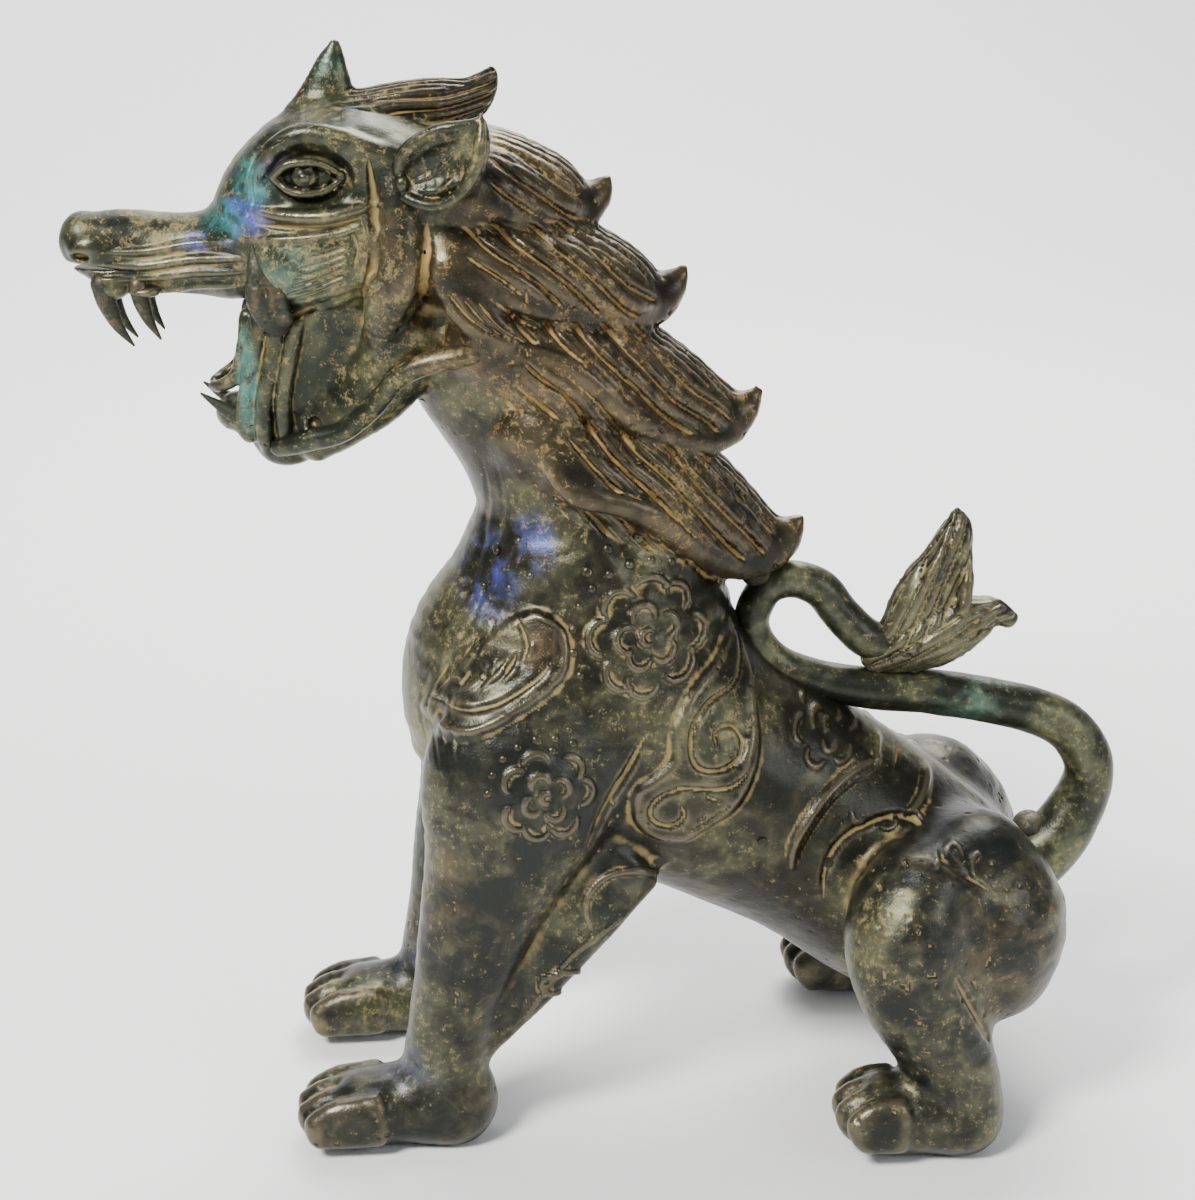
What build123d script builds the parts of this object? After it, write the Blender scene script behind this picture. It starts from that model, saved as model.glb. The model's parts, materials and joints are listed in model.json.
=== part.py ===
"""Seated guardian beast in patinated bronze, assembled from separately cast sections.

The frame is in millimetres: +Z up, the beast faces -X, its left flank is on -Y, and its mid plane
is Y = 0. The origin is on the ground under the middle of the figure. A form is a row of elliptical
sections along a path. A station is (x, y, z, half width along Y, half depth across the path).
Paired sections are given once, for the right flank at +Y, and carried to both sides.
"""

from build123d import *
import os

os.makedirs("parts", exist_ok=True)

# Driving dimensions
HEIGHT = 320.0
NOSE_X = -154.0
TAIL_X = 154.0
STANCE_FRONT = 36.0
STANCE_HIND = 54.0

# Casting walls: of the shells, of the upper forelegs and of the haunches
WALL = 4.0
FORELEG_WALL = 6.0
HAUNCH_WALL = 8.0

# Spans of a form between each pair of its stations
SPAN_STEPS = 2

# Seam between torso and neck, and the sleeve that bridges it inside
NECK_SEAM = Plane(origin=(-7, 0, 172), z_dir=(-0.12, 0.0, 0.99))
SLEEVE_WALL = 2.5
SLEEVE_REACH = 9.0

# Dowels and core pins
DOWEL_RADIUS = 2.5
DOWEL_REACH = 8.0
CORE_PIN_RADIUS = 1.5
CORE_PIN_LENGTH = 240.0

# Tools wider than the figure: the block under the ground, and the slab around the neck seam
GROUND_BLOCK = (500, 300, 100)
SLAB_WIDTH = 200

SIDES = {"left": -1, "right": 1}

# Neck and chest as one run, from inside the skull down to the brisket
NECK_AND_CHEST = [
    (-50, 0, 252, 20, 22),
    (-38, 0, 234, 24, 28),
    (-23, 0, 212, 26, 30),
    (-13, 0, 192, 28, 33),
    (-8, 0, 172, 32, 38),
    (-9, 0, 154, 37, 46),
    (-10, 0, 138, 41, 51),
    (-10, 0, 120, 41, 50),
    (-7, 0, 103, 34, 41),
    (-4, 0, 88, 22, 26),
]

# Barrel of the body, from inside the chest back to the rump
BARREL = [
    (-16, 0, 126, 28, 24),
    (6, 0, 112, 38, 41),
    (32, 0, 96, 38, 41),
    (62, 0, 81, 34, 38),
    (90, 0, 62, 36, 35),
    (108, 0, 52, 30, 28),
    (119, 0, 46, 18, 17),
]

# Skull and upper jaw, from the nose back
SKULL = [
    (NOSE_X, 0, 265, 5, 6),
    (-150, 0, 264, 8, 9.5),
    (-140, 0, 262, 9, 11),
    (-125, 0, 261.5, 10, 10.5),
    (-113, 0, 263.5, 13, 12.5),
    (-104, 0, 269, 17, 18),
    (-94, 0, 276, 22, 25),
    (-82, 0, 277, 27, 28),
    (-68, 0, 274, 30, 30),
    (-52, 0, 270, 29, 30),
    (-41, 0, 266, 23, 25),
]
SKULL_CAVITY_START = 6

# Lower jaw, from the chin up to the hinge
LOWER_JAW = [
    (-97, 0, 204, 7, 6),
    (-95, 0, 210, 10, 14),
    (-91, 0, 222, 14, 17),
    (-86, 0, 236, 19, 20),
    (-80, 0, 250, 23, 22),
]

# Teeth: one fang on each side of the mid plane
UPPER_FANG_FRONT = [(-142, 6, 254, 2.6, 4), (-140, 6, 247, 2.2, 3), (-136, 6, 237, 0.5, 0.5)]
UPPER_FANG_REAR = [(-132, 7, 254, 2.4, 3.4), (-131, 7, 247, 1.9, 2.5), (-129, 7, 239, 0.5, 0.5)]
LOWER_FANG = [(-103, 7, 213, 2.6, 3), (-110, 7, 217, 2.2, 2.4), (-118, 7, 222, 0.5, 0.5)]
CHEEK_TUSK = [
    (-97, 17, 244, 2.0, 2.5),
    (-98, 19, 250, 3.6, 5),
    (-101, 20, 258, 3.0, 4),
    (-103, 20, 266, 0.6, 0.6),
]

# Ear as a leaf shaped cup, with the bowl cut from its outer face
EAR = [
    (-60, 24, 281, 3, 4),
    (-55, 28, 286, 6, 9),
    (-47, 33, 292, 5, 9),
    (-41, 35, 298, 3, 5),
    (-38, 36, 303, 0.6, 0.8),
]
EAR_BOWL_CENTRE = (-52, 41, 290)
EAR_BOWL_RADII = (7, 8, 6)

# The slanted section at the horn's tip rises a little above its centre
HORN_TIP_Z = HEIGHT - 0.2
HORN = [
    (-80, 0, 298, 6, 8.5),
    (-80, 0, 308, 4, 5.5),
    (-79, 0, 315, 2.4, 2.8),
    (-78, 0, HORN_TIP_Z, 0.8, 0.8),
]

# Mane: a crown lock and four overlapping locks that sweep back to upturned tips
CROWN_LOCK = [
    (-72, 0, 301, 12, 5),
    (-58, 0, 302, 14, 7),
    (-47, 0, 301, 10, 7),
    (-39, 0, 304, 5, 5),
    (-35, 0, 311, 1, 1),
]
MANE_LOCKS = [
    [
        (-56, 0, 278, 31, 14),
        (-38, 0, 276, 29, 16),
        (-22, 0, 273, 20, 13),
        (-10, 0, 273, 9, 7),
        (-3, 0, 280, 1, 1),
    ],
    [
        (-44, 0, 262, 33, 18),
        (-22, 0, 256, 31, 19),
        (-3, 0, 249, 21, 15),
        (10, 0, 247, 9, 8),
        (19, 0, 254, 1, 1),
    ],
    [
        (-36, 0, 238, 33, 20),
        (-12, 0, 229, 33, 22),
        (11, 0, 219, 22, 17),
        (29, 0, 212, 10, 9),
        (41, 0, 218, 1, 1),
    ],
    [
        (-26, 0, 212, 33, 20),
        (-2, 0, 198, 34, 24),
        (21, 0, 184, 26, 19),
        (40, 0, 174, 12, 9),
        (54, 0, 179, 1, 1),
    ],
]

# Beard strand: a round rod from the chin, under the jaw, rising to a leaf on the neck
BEARD_STRAND = [
    (-99, 10, 206, 3, 3),
    (-91, 14, 209, 3.2, 3.2),
    (-79, 19, 214, 3.2, 3.2),
    (-69, 23, 223, 3.2, 3.2),
    (-59, 26, 232, 3.2, 3.6),
    (-47, 28, 236, 3.0, 3.6),
    (-37, 28, 237, 0.8, 0.8),
]

# Legs, from the shoulder or hip down to the ankle, and the paws
FRONT_LEG = [
    (-22, 26, 138, 12, 14),
    (-25, 31, 124, 17, 26),
    (-30, 34, 108, 18, 27),
    (-36, 35, 88, 16, 20),
    (-42, 36, 66, 13.5, 16),
    (-49, STANCE_FRONT, 44, 12, 13),
    (-53, STANCE_FRONT, 24, 12.5, 12.5),
    (-53, STANCE_FRONT, 8, 12.5, 13),
    (-53, STANCE_FRONT, -4, 11, 12),
]
FRONT_PAW = [
    (-44, STANCE_FRONT, 8, 11, 11),
    (-60, STANCE_FRONT, 11, 14, 13),
    (-76, STANCE_FRONT, 10, 15, 13),
    (-90, STANCE_FRONT, 8.5, 13, 10),
    (-98, STANCE_FRONT, 8, 7, 6),
]
HIND_LEG = [
    (105, 24, 90, 9, 10),
    (101, 33, 79, 18, 23),
    (96, 38, 66, 22, 29),
    (91, 42, 52, 22, 27),
    (89, 46, 38, 18, 18.5),
    (93.5, 50, 25, 14, 13.5),
    (95, STANCE_HIND, 10, 13, 13),
    (95, STANCE_HIND, -4, 12, 12),
]
HIND_PAW = [
    (106, STANCE_HIND, 7, 10, 8),
    (92, STANCE_HIND, 10, 14, 12),
    (78, STANCE_HIND, 11, 15, 13),
    (67, STANCE_HIND, 11, 13, 11),
    (60, STANCE_HIND, 11, 7, 6),
]
LEG_CAVITY = slice(1, 5)

# Flame fin behind each foreleg, from the ankle up to the belly
ELBOW_FLAME = [
    (-42, 38, 22, 2, 3),
    (-33, 38, 38, 4, 9),
    (-21, 37, 52, 5, 13),
    (-8, 34, 68, 6, 14),
    (6, 30, 84, 6, 12),
]

# Tail: up from the rump, forward over the back, and round a loop to the tuft
TAIL_BEND_RADIUS = 7.0
TAIL_STEM = [
    (116, 0, 62, 9, 9),
    (128, 0, 68, 9, 9),
    (140, 0, 80, 8, 8),
    (TAIL_X - TAIL_BEND_RADIUS, 0, 97, TAIL_BEND_RADIUS, TAIL_BEND_RADIUS),
    (143, 0, 109, 6.6, 6.6),
    (133, 0, 117, 6.4, 6.4),
    (115, 0, 122, 6, 6),
    (96, 0, 125.5, 6, 6),
    (75, 0, 127, 5.6, 5.6),
    (60, 0, 130, 5.2, 5.2),
    (47, 0, 136, 5, 5),
    (40.5, 0, 147, 5, 5),
    (44, 0, 158, 5, 5),
    (52, 0, 161.5, 5, 5),
    (61, 0, 158, 5, 5),
    (68, 0, 149, 5, 5),
    (76, 0, 141.5, 5.5, 5.5),
    (84, 0, 140, 6, 6),
]
TAIL_TUFT_BASE = [(80, 0, 138, 8, 7), (90, 0, 140, 11, 11), (102, 0, 143, 10, 10), (112, 0, 148, 7, 6)]
TAIL_TUFT_BACK_LOBE = [(102, 0, 144, 7, 7), (112, 0, 149, 6, 5.5), (119, 0, 147.5, 2.5, 3)]
TAIL_TUFT_TOP_LOBE = [
    (90, 0, 142, 9, 11),
    (94, 0, 154, 7.5, 10),
    (99, 0, 166, 5.5, 7),
    (101.5, 0, 175, 4, 4.5),
    (101.5, 0, 181, 1.2, 1.5),
]

# Brazed joints of the tail: (centre, radii)
BRAZE_BEADS = [
    ((42, 0, 163), (5, 5, 4)),
    ((92, 0, 131), (6, 5, 3.5)),
    ((128, 0, 80), (5, 6, 4)),
]

# Dowels across the seams: (start, direction) given for the right flank
SHOULDER_DOWELS = [((-26, 40, 122), (0, -1, 0)), ((-16, 39, 106), (0, -1, 0))]
HIP_DOWELS = [((98, 40, 66), (0, -1, 0)), ((86, 40, 58), (0, -1, 0))]
TAIL_DOWELS = [((122, 0, 65), (-0.8, 0, -0.6)), ((90, 0, 132), (0, 0, 1))]

# Core pins through the torso wall, as (x, z) along Y
CORE_PINS = [(-12, 150), (20, 120), (40, 92), (60, 84)]


def smooth_value(points, column, index, t):
    """One column of a Catmull-Rom curve through the points, at t between index and index + 1."""
    last = len(points) - 1
    p0, p1, p2, p3 = (points[min(max(index + k, 0), last)][column] for k in (-1, 0, 1, 2))
    return 0.5 * (
        2 * p1
        + (p2 - p0) * t
        + (2 * p0 - 5 * p1 + 4 * p2 - p3) * t**2
        + (3 * p1 - p0 - 3 * p2 + p3) * t**3
    )


def resampled(stations):
    """The stations and those between them, on a smooth curve through them all."""
    dense = []
    for index in range(len(stations) - 1):
        for step in range(SPAN_STEPS):
            t = step / SPAN_STEPS
            dense.append([smooth_value(stations, column, index, t) for column in range(5)])
    dense.append(list(stations[-1]))
    return dense


def form(stations, shrink=0.0, side=1):
    """A closed solid through elliptical sections square to the path, with radii less shrink."""
    dense = resampled(stations)
    centres = [Vector(s[0], side * s[1], s[2]) for s in dense]
    sections = []
    for index, station in enumerate(dense):
        before = centres[max(index - 1, 0)]
        after = centres[min(index + 1, len(centres) - 1)]
        plane = Plane(origin=centres[index], x_dir=(0, 1, 0), z_dir=(after - before).normalized())
        sections.append(plane * Ellipse(station[3] - shrink, station[4] - shrink))
    return loft(sections, ruled=True)


def ellipsoid(centre, radii):
    """An ellipsoid on the frame's axes."""
    return Pos(*centre) * scale(Sphere(1.0), by=radii)


def rod(centre, direction, radius, length):
    """A round rod of the length, centred on a point."""
    plane = Plane(origin=centre, z_dir=direction)
    return extrude(plane * Circle(radius), amount=length / 2, both=True)


def on_side(vector, side):
    """A point or direction of the right flank, carried to the given side."""
    return (vector[0], side * vector[1], vector[2])


def above_ground(shape):
    """The shape without what lies under the ground plane, which leaves a flat sole."""
    return shape - Pos(0, 0, -GROUND_BLOCK[2] / 2) * Box(*GROUND_BLOCK)


def beyond(plane, shape, keep):
    """The part of the shape on one side of a plane."""
    return split(shape, bisect_by=plane, keep=keep)


def largest(shape):
    """The largest solid of a shape, without crumbs left by a cut."""
    return max(shape.solids(), key=lambda solid: solid.volume)


def dowel(centre, direction):
    """A dowel that reaches the same distance to both sides of a seam."""
    return rod(centre, direction, DOWEL_RADIUS, 2 * DOWEL_REACH)


def side_dowels(places, side):
    """The dowels of one leg."""
    return [dowel(on_side(centre, side), on_side(direction, side)) for centre, direction in places]


def cut(shape, *tools):
    """The shape less each tool, as its largest solid."""
    for tool in tools:
        shape = shape - tool
    return largest(shape)


def pair(name, stations, tools, build):
    """Add both nodes of a paired section, cut by the tools."""
    for side_name, side in SIDES.items():
        build[f"{name}_{side_name}"] = cut(form(stations, side=side), *tools)


def front_leg(side):
    """Foreleg with its shoulder and paw, less the core cavity in the upper leg."""
    leg = form(FRONT_LEG, side=side) + form(FRONT_PAW, side=side)
    return above_ground(leg) - form(FRONT_LEG[LEG_CAVITY], shrink=FORELEG_WALL, side=side)


def hind_leg(side):
    """Hind leg with its haunch and paw, less the core cavity in the haunch."""
    leg = form(HIND_LEG, side=side) + form(HIND_PAW, side=side)
    return above_ground(leg) - form(HIND_LEG[LEG_CAVITY], shrink=HAUNCH_WALL, side=side)


def ear(side):
    """Ear cup with its bowl open to the side."""
    bowl = ellipsoid(on_side(EAR_BOWL_CENTRE, side), EAR_BOWL_RADII)
    return form(EAR, side=side) - bowl


def trunk_inside(wall):
    """The hollow of neck, chest and barrel behind a wall of the given thickness."""
    return form(NECK_AND_CHEST[1:-1], shrink=wall) + form(BARREL[1:-1], shrink=wall)


def neck_sleeve(bore, inner_bore):
    """The ring that fills the bore for a short way on both sides of the neck seam."""
    slab = NECK_SEAM * Box(SLAB_WIDTH, SLAB_WIDTH, 2 * SLEEVE_REACH)
    return largest((bore & slab) - inner_bore)


def build_all():
    """Every node of the figure, by name."""
    build = {}

    trunk = form(NECK_AND_CHEST) + form(BARREL)
    bore = trunk_inside(WALL)
    inner_bore = trunk_inside(WALL + SLEEVE_WALL)
    skull = form(SKULL)
    skull_cavity = form(SKULL[SKULL_CAVITY_START:-1], shrink=WALL)
    torso_outer = beyond(NECK_SEAM, trunk, Keep.BOTTOM)
    neck_outer = beyond(NECK_SEAM, trunk, Keep.TOP)
    jaw = cut(form(LOWER_JAW), skull, neck_outer)

    shoulder_dowels = {name: side_dowels(SHOULDER_DOWELS, side) for name, side in SIDES.items()}
    hip_dowels = {name: side_dowels(HIP_DOWELS, side) for name, side in SIDES.items()}
    leg_dowels = [*shoulder_dowels["left"], *shoulder_dowels["right"]]
    leg_dowels += [*hip_dowels["left"], *hip_dowels["right"]]
    tail_dowels = [dowel(centre, direction) for centre, direction in TAIL_DOWELS]
    pins = [rod((x, 0, z), (0, 1, 0), CORE_PIN_RADIUS, CORE_PIN_LENGTH) for x, z in CORE_PINS]

    torso_wall = torso_outer - bore
    build["torso_shell"] = cut(torso_wall, *leg_dowels, tail_dowels[0], *pins)
    build["core_pins"] = Compound([s for pin in pins for s in (pin & torso_wall).solids()])
    build["neck_joint_sleeve"] = neck_sleeve(bore, inner_bore)
    build["neck_shell"] = cut(neck_outer - bore, skull)
    build["lower_jaw"] = jaw

    horn = form(HORN)
    build["head_shell"] = largest(skull - skull_cavity)
    build["brow_horn"] = cut(horn, skull)
    pair("upper_fang_front", UPPER_FANG_FRONT, [skull], build)
    pair("upper_fang_rear", UPPER_FANG_REAR, [skull], build)
    pair("lower_fang", LOWER_FANG, [jaw], build)
    pair("cheek_tusk", CHEEK_TUSK, [skull, jaw], build)
    for side_name, side in SIDES.items():
        build[f"ear_{side_name}"] = cut(ear(side), skull)

    tusks = [build["cheek_tusk_left"], build["cheek_tusk_right"]]
    pair("beard_strand", BEARD_STRAND, [jaw, skull, neck_outer, *tusks], build)
    taken = [skull, neck_outer, torso_outer, jaw, horn]
    taken += [build[f"{name}_{side}"] for name in ("ear", "beard_strand") for side in SIDES]
    crown = cut(form(CROWN_LOCK), *taken)
    build["crown_lock"] = crown
    taken.append(crown)
    for number, stations in enumerate(MANE_LOCKS, start=1):
        lock = cut(form(stations), *taken)
        build[f"mane_lock_{number}"] = lock
        taken.append(lock)

    for side_name, side in SIDES.items():
        leg = cut(front_leg(side), torso_outer, *shoulder_dowels[side_name])
        build[f"front_leg_{side_name}"] = leg
        build[f"elbow_flame_{side_name}"] = cut(form(ELBOW_FLAME, side=side), torso_outer, leg)
        build[f"hind_leg_{side_name}"] = cut(hind_leg(side), torso_outer, *hip_dowels[side_name])

    last_lock = build["mane_lock_4"]
    legs = [build[f"hind_leg_{side}"] for side in SIDES]
    stem = cut(form(TAIL_STEM), torso_outer, last_lock, *legs, *tail_dowels)
    tuft = form(TAIL_TUFT_BASE) + form(TAIL_TUFT_BACK_LOBE) + form(TAIL_TUFT_TOP_LOBE)
    tuft = cut(tuft, form(TAIL_STEM), tail_dowels[1])
    build["tail_stem"] = stem
    build["tail_tuft"] = tuft
    build["leg_joint_dowels"] = Compound(leg_dowels)
    build["tail_joint_dowels"] = Compound(tail_dowels)
    beads = [ellipsoid(*bead) for bead in BRAZE_BEADS]
    metal = [form(TAIL_STEM), torso_outer, last_lock, tuft, *legs, *tail_dowels]
    build["braze_beads"] = Compound([cut(bead, *metal) for bead in beads])
    return build


for node, shape in build_all().items():
    export_step(shape, f"parts/{node}.step")
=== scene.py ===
"""Looks of a seated guardian beast in patinated bronze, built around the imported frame.

The castings are sculpted as one smooth distance field, in millimetres, and then parted along the
seams of the frame's nodes, so that neighbours meet without a step. Strokes raise or cut the relief.
The tail, the beard strands, the fangs and the raised beads come from Geometry Nodes trees.
"""

import json
import logging
import math
from collections.abc import Sequence
from dataclasses import dataclass, field
from enum import Enum

import bpy
import numpy as np
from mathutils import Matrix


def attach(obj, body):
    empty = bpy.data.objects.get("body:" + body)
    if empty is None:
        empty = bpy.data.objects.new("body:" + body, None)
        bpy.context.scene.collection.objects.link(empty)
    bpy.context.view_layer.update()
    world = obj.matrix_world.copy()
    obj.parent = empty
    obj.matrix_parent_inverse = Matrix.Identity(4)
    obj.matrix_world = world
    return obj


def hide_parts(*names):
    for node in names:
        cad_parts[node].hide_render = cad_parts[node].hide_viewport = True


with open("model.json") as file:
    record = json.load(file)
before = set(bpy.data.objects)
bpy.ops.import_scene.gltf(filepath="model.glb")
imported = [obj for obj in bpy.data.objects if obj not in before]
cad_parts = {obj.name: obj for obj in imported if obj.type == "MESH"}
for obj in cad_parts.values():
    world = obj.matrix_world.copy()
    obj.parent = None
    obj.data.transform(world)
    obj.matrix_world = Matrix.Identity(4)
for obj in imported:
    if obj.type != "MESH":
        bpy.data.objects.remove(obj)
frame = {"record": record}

import openvdb
from mathutils import Vector

LOG = logging.getLogger("guardian_beast")
MM = 0.001
ROOT = "root"
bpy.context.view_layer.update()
REACH = 14.0  # Distances in millimetres are not measured beyond this
FAR = 1e9
Station = tuple[float, ...]
Point = tuple[float, float]
Triple = tuple[float, float, float]
Quad = tuple[float, float, float, float]


def linked(name: str, data: bpy.types.ID) -> bpy.types.Object:
    """A new object in the scene.

    Args:
        name: Name of the object.
        data: Its mesh, light or camera.

    Returns:
        The object, already in the scene.
    """
    made = bpy.data.objects.new(name, data)
    bpy.context.scene.collection.objects.link(made)
    return made


def coordinates(mesh: bpy.types.Mesh) -> np.ndarray:
    """Places of the vertices, one row for each.

    Args:
        mesh: The mesh to read.

    Returns:
        Rows of x, y and z in the mesh's own unit.
    """
    flat = np.empty(len(mesh.vertices) * 3)
    mesh.vertices.foreach_get("co", flat)
    return flat.reshape(-1, 3)


# Distance fields


def catmull_rom(points: np.ndarray, steps: int, closed: bool = False) -> np.ndarray:
    """Resample rows of numbers on a Catmull-Rom curve.

    Args:
        points: One row per control point.
        steps: Spans between each pair of control points.
        closed: Whether the curve returns to its first point.

    Returns:
        The dense rows, the last control point included.
    """
    count = len(points)
    spans = count if closed else count - 1
    index = np.arange(-1, count + 2)
    index = index % count if closed else np.clip(index, 0, count - 1)
    padded = points[index]
    t = (np.arange(steps) / steps)[None, :, None]
    p0, p1, p2, p3 = (padded[k : k + spans, None, :] for k in range(4))
    rows = 0.5 * (
        2 * p1
        + (p2 - p0) * t
        + (2 * p0 - 5 * p1 + 4 * p2 - p3) * t**2
        + (3 * p1 - p0 - 3 * p2 + p3) * t**3
    )
    end = points[:1] if closed else points[-1:]
    return np.vstack([rows.reshape(-1, points.shape[1]), end])


def smooth_min(a: np.ndarray, b: np.ndarray, k: float) -> np.ndarray:
    """Lesser of two fields, with a fillet about k wide."""
    h = np.maximum(k - np.abs(a - b), 0.0) / k
    return np.minimum(a, b) - h * h * k * 0.25


def smooth_step(low: float, high: float, x: np.ndarray) -> np.ndarray:
    """Zero below low, one above high, and a smooth ramp between."""
    t = np.clip((x - low) / (high - low), 0.0, 1.0)
    return t * t * (3 - 2 * t)


def value_noise(points: np.ndarray, size: float, seed: int) -> np.ndarray:
    """Smooth noise from -1 to 1 whose lumps are about size across.

    Args:
        points: Rows of places in millimetres.
        size: Size of a lump in millimetres.
        seed: Number that picks the pattern.

    Returns:
        One value for each point.
    """
    p = points / size
    cell = np.floor(p).astype(np.int64)
    t = p - cell
    t = t * t * (3 - 2 * t)
    total = np.zeros(len(points))
    for corner in range(8):
        offset = np.array([corner & 1, corner >> 1 & 1, corner >> 2 & 1])
        key = cell + offset
        h = (key[:, 0] * 73856093) ^ (key[:, 1] * 19349663) ^ (key[:, 2] * 83492791) ^ (seed * 2654435)
        h = (h ^ (h >> 13)) * 1274126177 & 0xFFFFFFFF
        h = (h ^ (h >> 16)) & 0xFFFF
        weight = np.prod(np.where(offset == 1, t, 1 - t), axis=1)
        total += weight * (h / 32767.5 - 1.0)
    return total


def layered(points: np.ndarray, layers: Sequence[tuple[float, float, int]]) -> np.ndarray:
    """Sum of noises, each given as (height, size, seed)."""
    return sum(height * value_noise(points, size, seed) for height, size, seed in layers)


@dataclass
class Chain:
    """Elliptical sections along a smooth path, as a distance field.

    A station is (x, y, z, half width along Y, half depth across the path), and the last may be left
    out where both are the same. Points are folded to +Y before they are measured, so a chain off the
    mid plane stands for both flanks.
    """

    node: str
    stations: Sequence[Station]
    blend: float = 4.0
    steps: int = 4
    cap: float = 0.9
    rows: np.ndarray = field(init=False)

    def __post_init__(self) -> None:
        """Resample the stations once."""
        full = [station if len(station) == 5 else (*station, station[3]) for station in self.stations]
        self.rows = catmull_rom(np.array(full, float), self.steps)
        self.rows[:, 3:] = np.maximum(self.rows[:, 3:], 0.15)

    def near(self, points: np.ndarray) -> np.ndarray:
        """Mask of the points close enough to matter.

        Args:
            points: Folded points.

        Returns:
            True where a point lies within reach.
        """
        spread = self.rows[:, 3:].max(axis=1, keepdims=True) + REACH
        low = (self.rows[:, :3] - spread).min(axis=0)
        high = (self.rows[:, :3] + spread).max(axis=0)
        return np.all((points > low) & (points < high), axis=1)

    def distance(self, points: np.ndarray) -> np.ndarray:
        """Signed distance of folded points to the chain, negative inside.

        Args:
            points: Folded points.

        Returns:
            Distances in millimetres, no more than the reach.
        """
        out = np.full(len(points), REACH)
        mask = self.near(points)
        if not mask.any():
            return out
        p = points[mask]
        best = np.full(len(p), FAR)
        for a, b in zip(self.rows[:-1], self.rows[1:]):
            d = b[:3] - a[:3]
            length = np.linalg.norm(d)
            tangent = d / length
            side = np.array([0.0, 1.0, 0.0]) - tangent[1] * tangent
            side /= np.linalg.norm(side)
            depth = np.cross(tangent, side)
            q = p - a[:3]
            along = q @ tangent
            t = np.clip(along / length, 0.0, 1.0)
            u = along - t * length
            v = q @ side
            w = q @ depth
            ry = a[3] + (b[3] - a[3]) * t
            rd = a[4] + (b[4] - a[4]) * t
            rc = np.minimum(ry, rd) * self.cap
            v, w, u = v / ry, w / rd, u / rc
            k0 = np.sqrt(v * v + w * w + u * u)
            k1 = np.sqrt((v / ry) ** 2 + (w / rd) ** 2 + (u / rc) ** 2)
            dist = np.where(k1 > 1e-6, k0 * (k0 - 1) / np.maximum(k1, 1e-6), -np.minimum(ry, rd))
            best = np.minimum(best, dist)
        out[mask] = np.minimum(best, REACH)
        return out


@dataclass
class Blob:
    """An ellipsoid on the frame's axes, as a distance field."""

    node: str
    centre: Triple
    radii: Triple
    blend: float = 3.0

    def distance(self, points: np.ndarray) -> np.ndarray:
        """Signed distance of folded points to the ellipsoid.

        Args:
            points: Folded points.

        Returns:
            Distances in millimetres, no more than the reach.
        """
        radii = np.array(self.radii)
        q = (points - np.array(self.centre)) / radii
        k0 = np.linalg.norm(q, axis=1)
        k1 = np.maximum(np.linalg.norm(q / radii, axis=1), 1e-6)
        return np.minimum(k0 * (k0 - 1) / k1, REACH)


Part = Chain | Blob


@dataclass
class Casting:
    """All the forms of the figure and the hollows cut into them."""

    parts: list[Part]
    cuts: list[Part]
    extras: list[Part]

    def field(self, points: np.ndarray) -> np.ndarray:
        """Composite distance of points on both flanks, negative inside.

        Args:
            points: Rows of places in millimetres.

        Returns:
            Distances in millimetres.
        """
        p = points.copy()
        p[:, 1] = np.abs(p[:, 1])
        total = np.full(len(p), REACH)
        for forms, sign in ((self.parts, 1), (self.cuts, -1), (self.extras, 1)):
            for part in forms:
                total = sign * smooth_min(sign * total, part.distance(p), part.blend)
        return np.maximum(total, -p[:, 2])

    def owners(self, points: np.ndarray) -> tuple[list[str], np.ndarray]:
        """Distance of each point to each node's own forms.

        Args:
            points: Places in millimetres.

        Returns:
            The node names, without a side, and one column of distances for each.
        """
        p = points.copy()
        p[:, 1] = np.abs(p[:, 1])
        names = list(dict.fromkeys(part.node for part in self.parts))
        table = np.full((len(p), len(names)), REACH)
        for part in self.parts:
            column = names.index(part.node)
            table[:, column] = np.minimum(table[:, column], part.distance(p))
        return names, table


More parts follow.
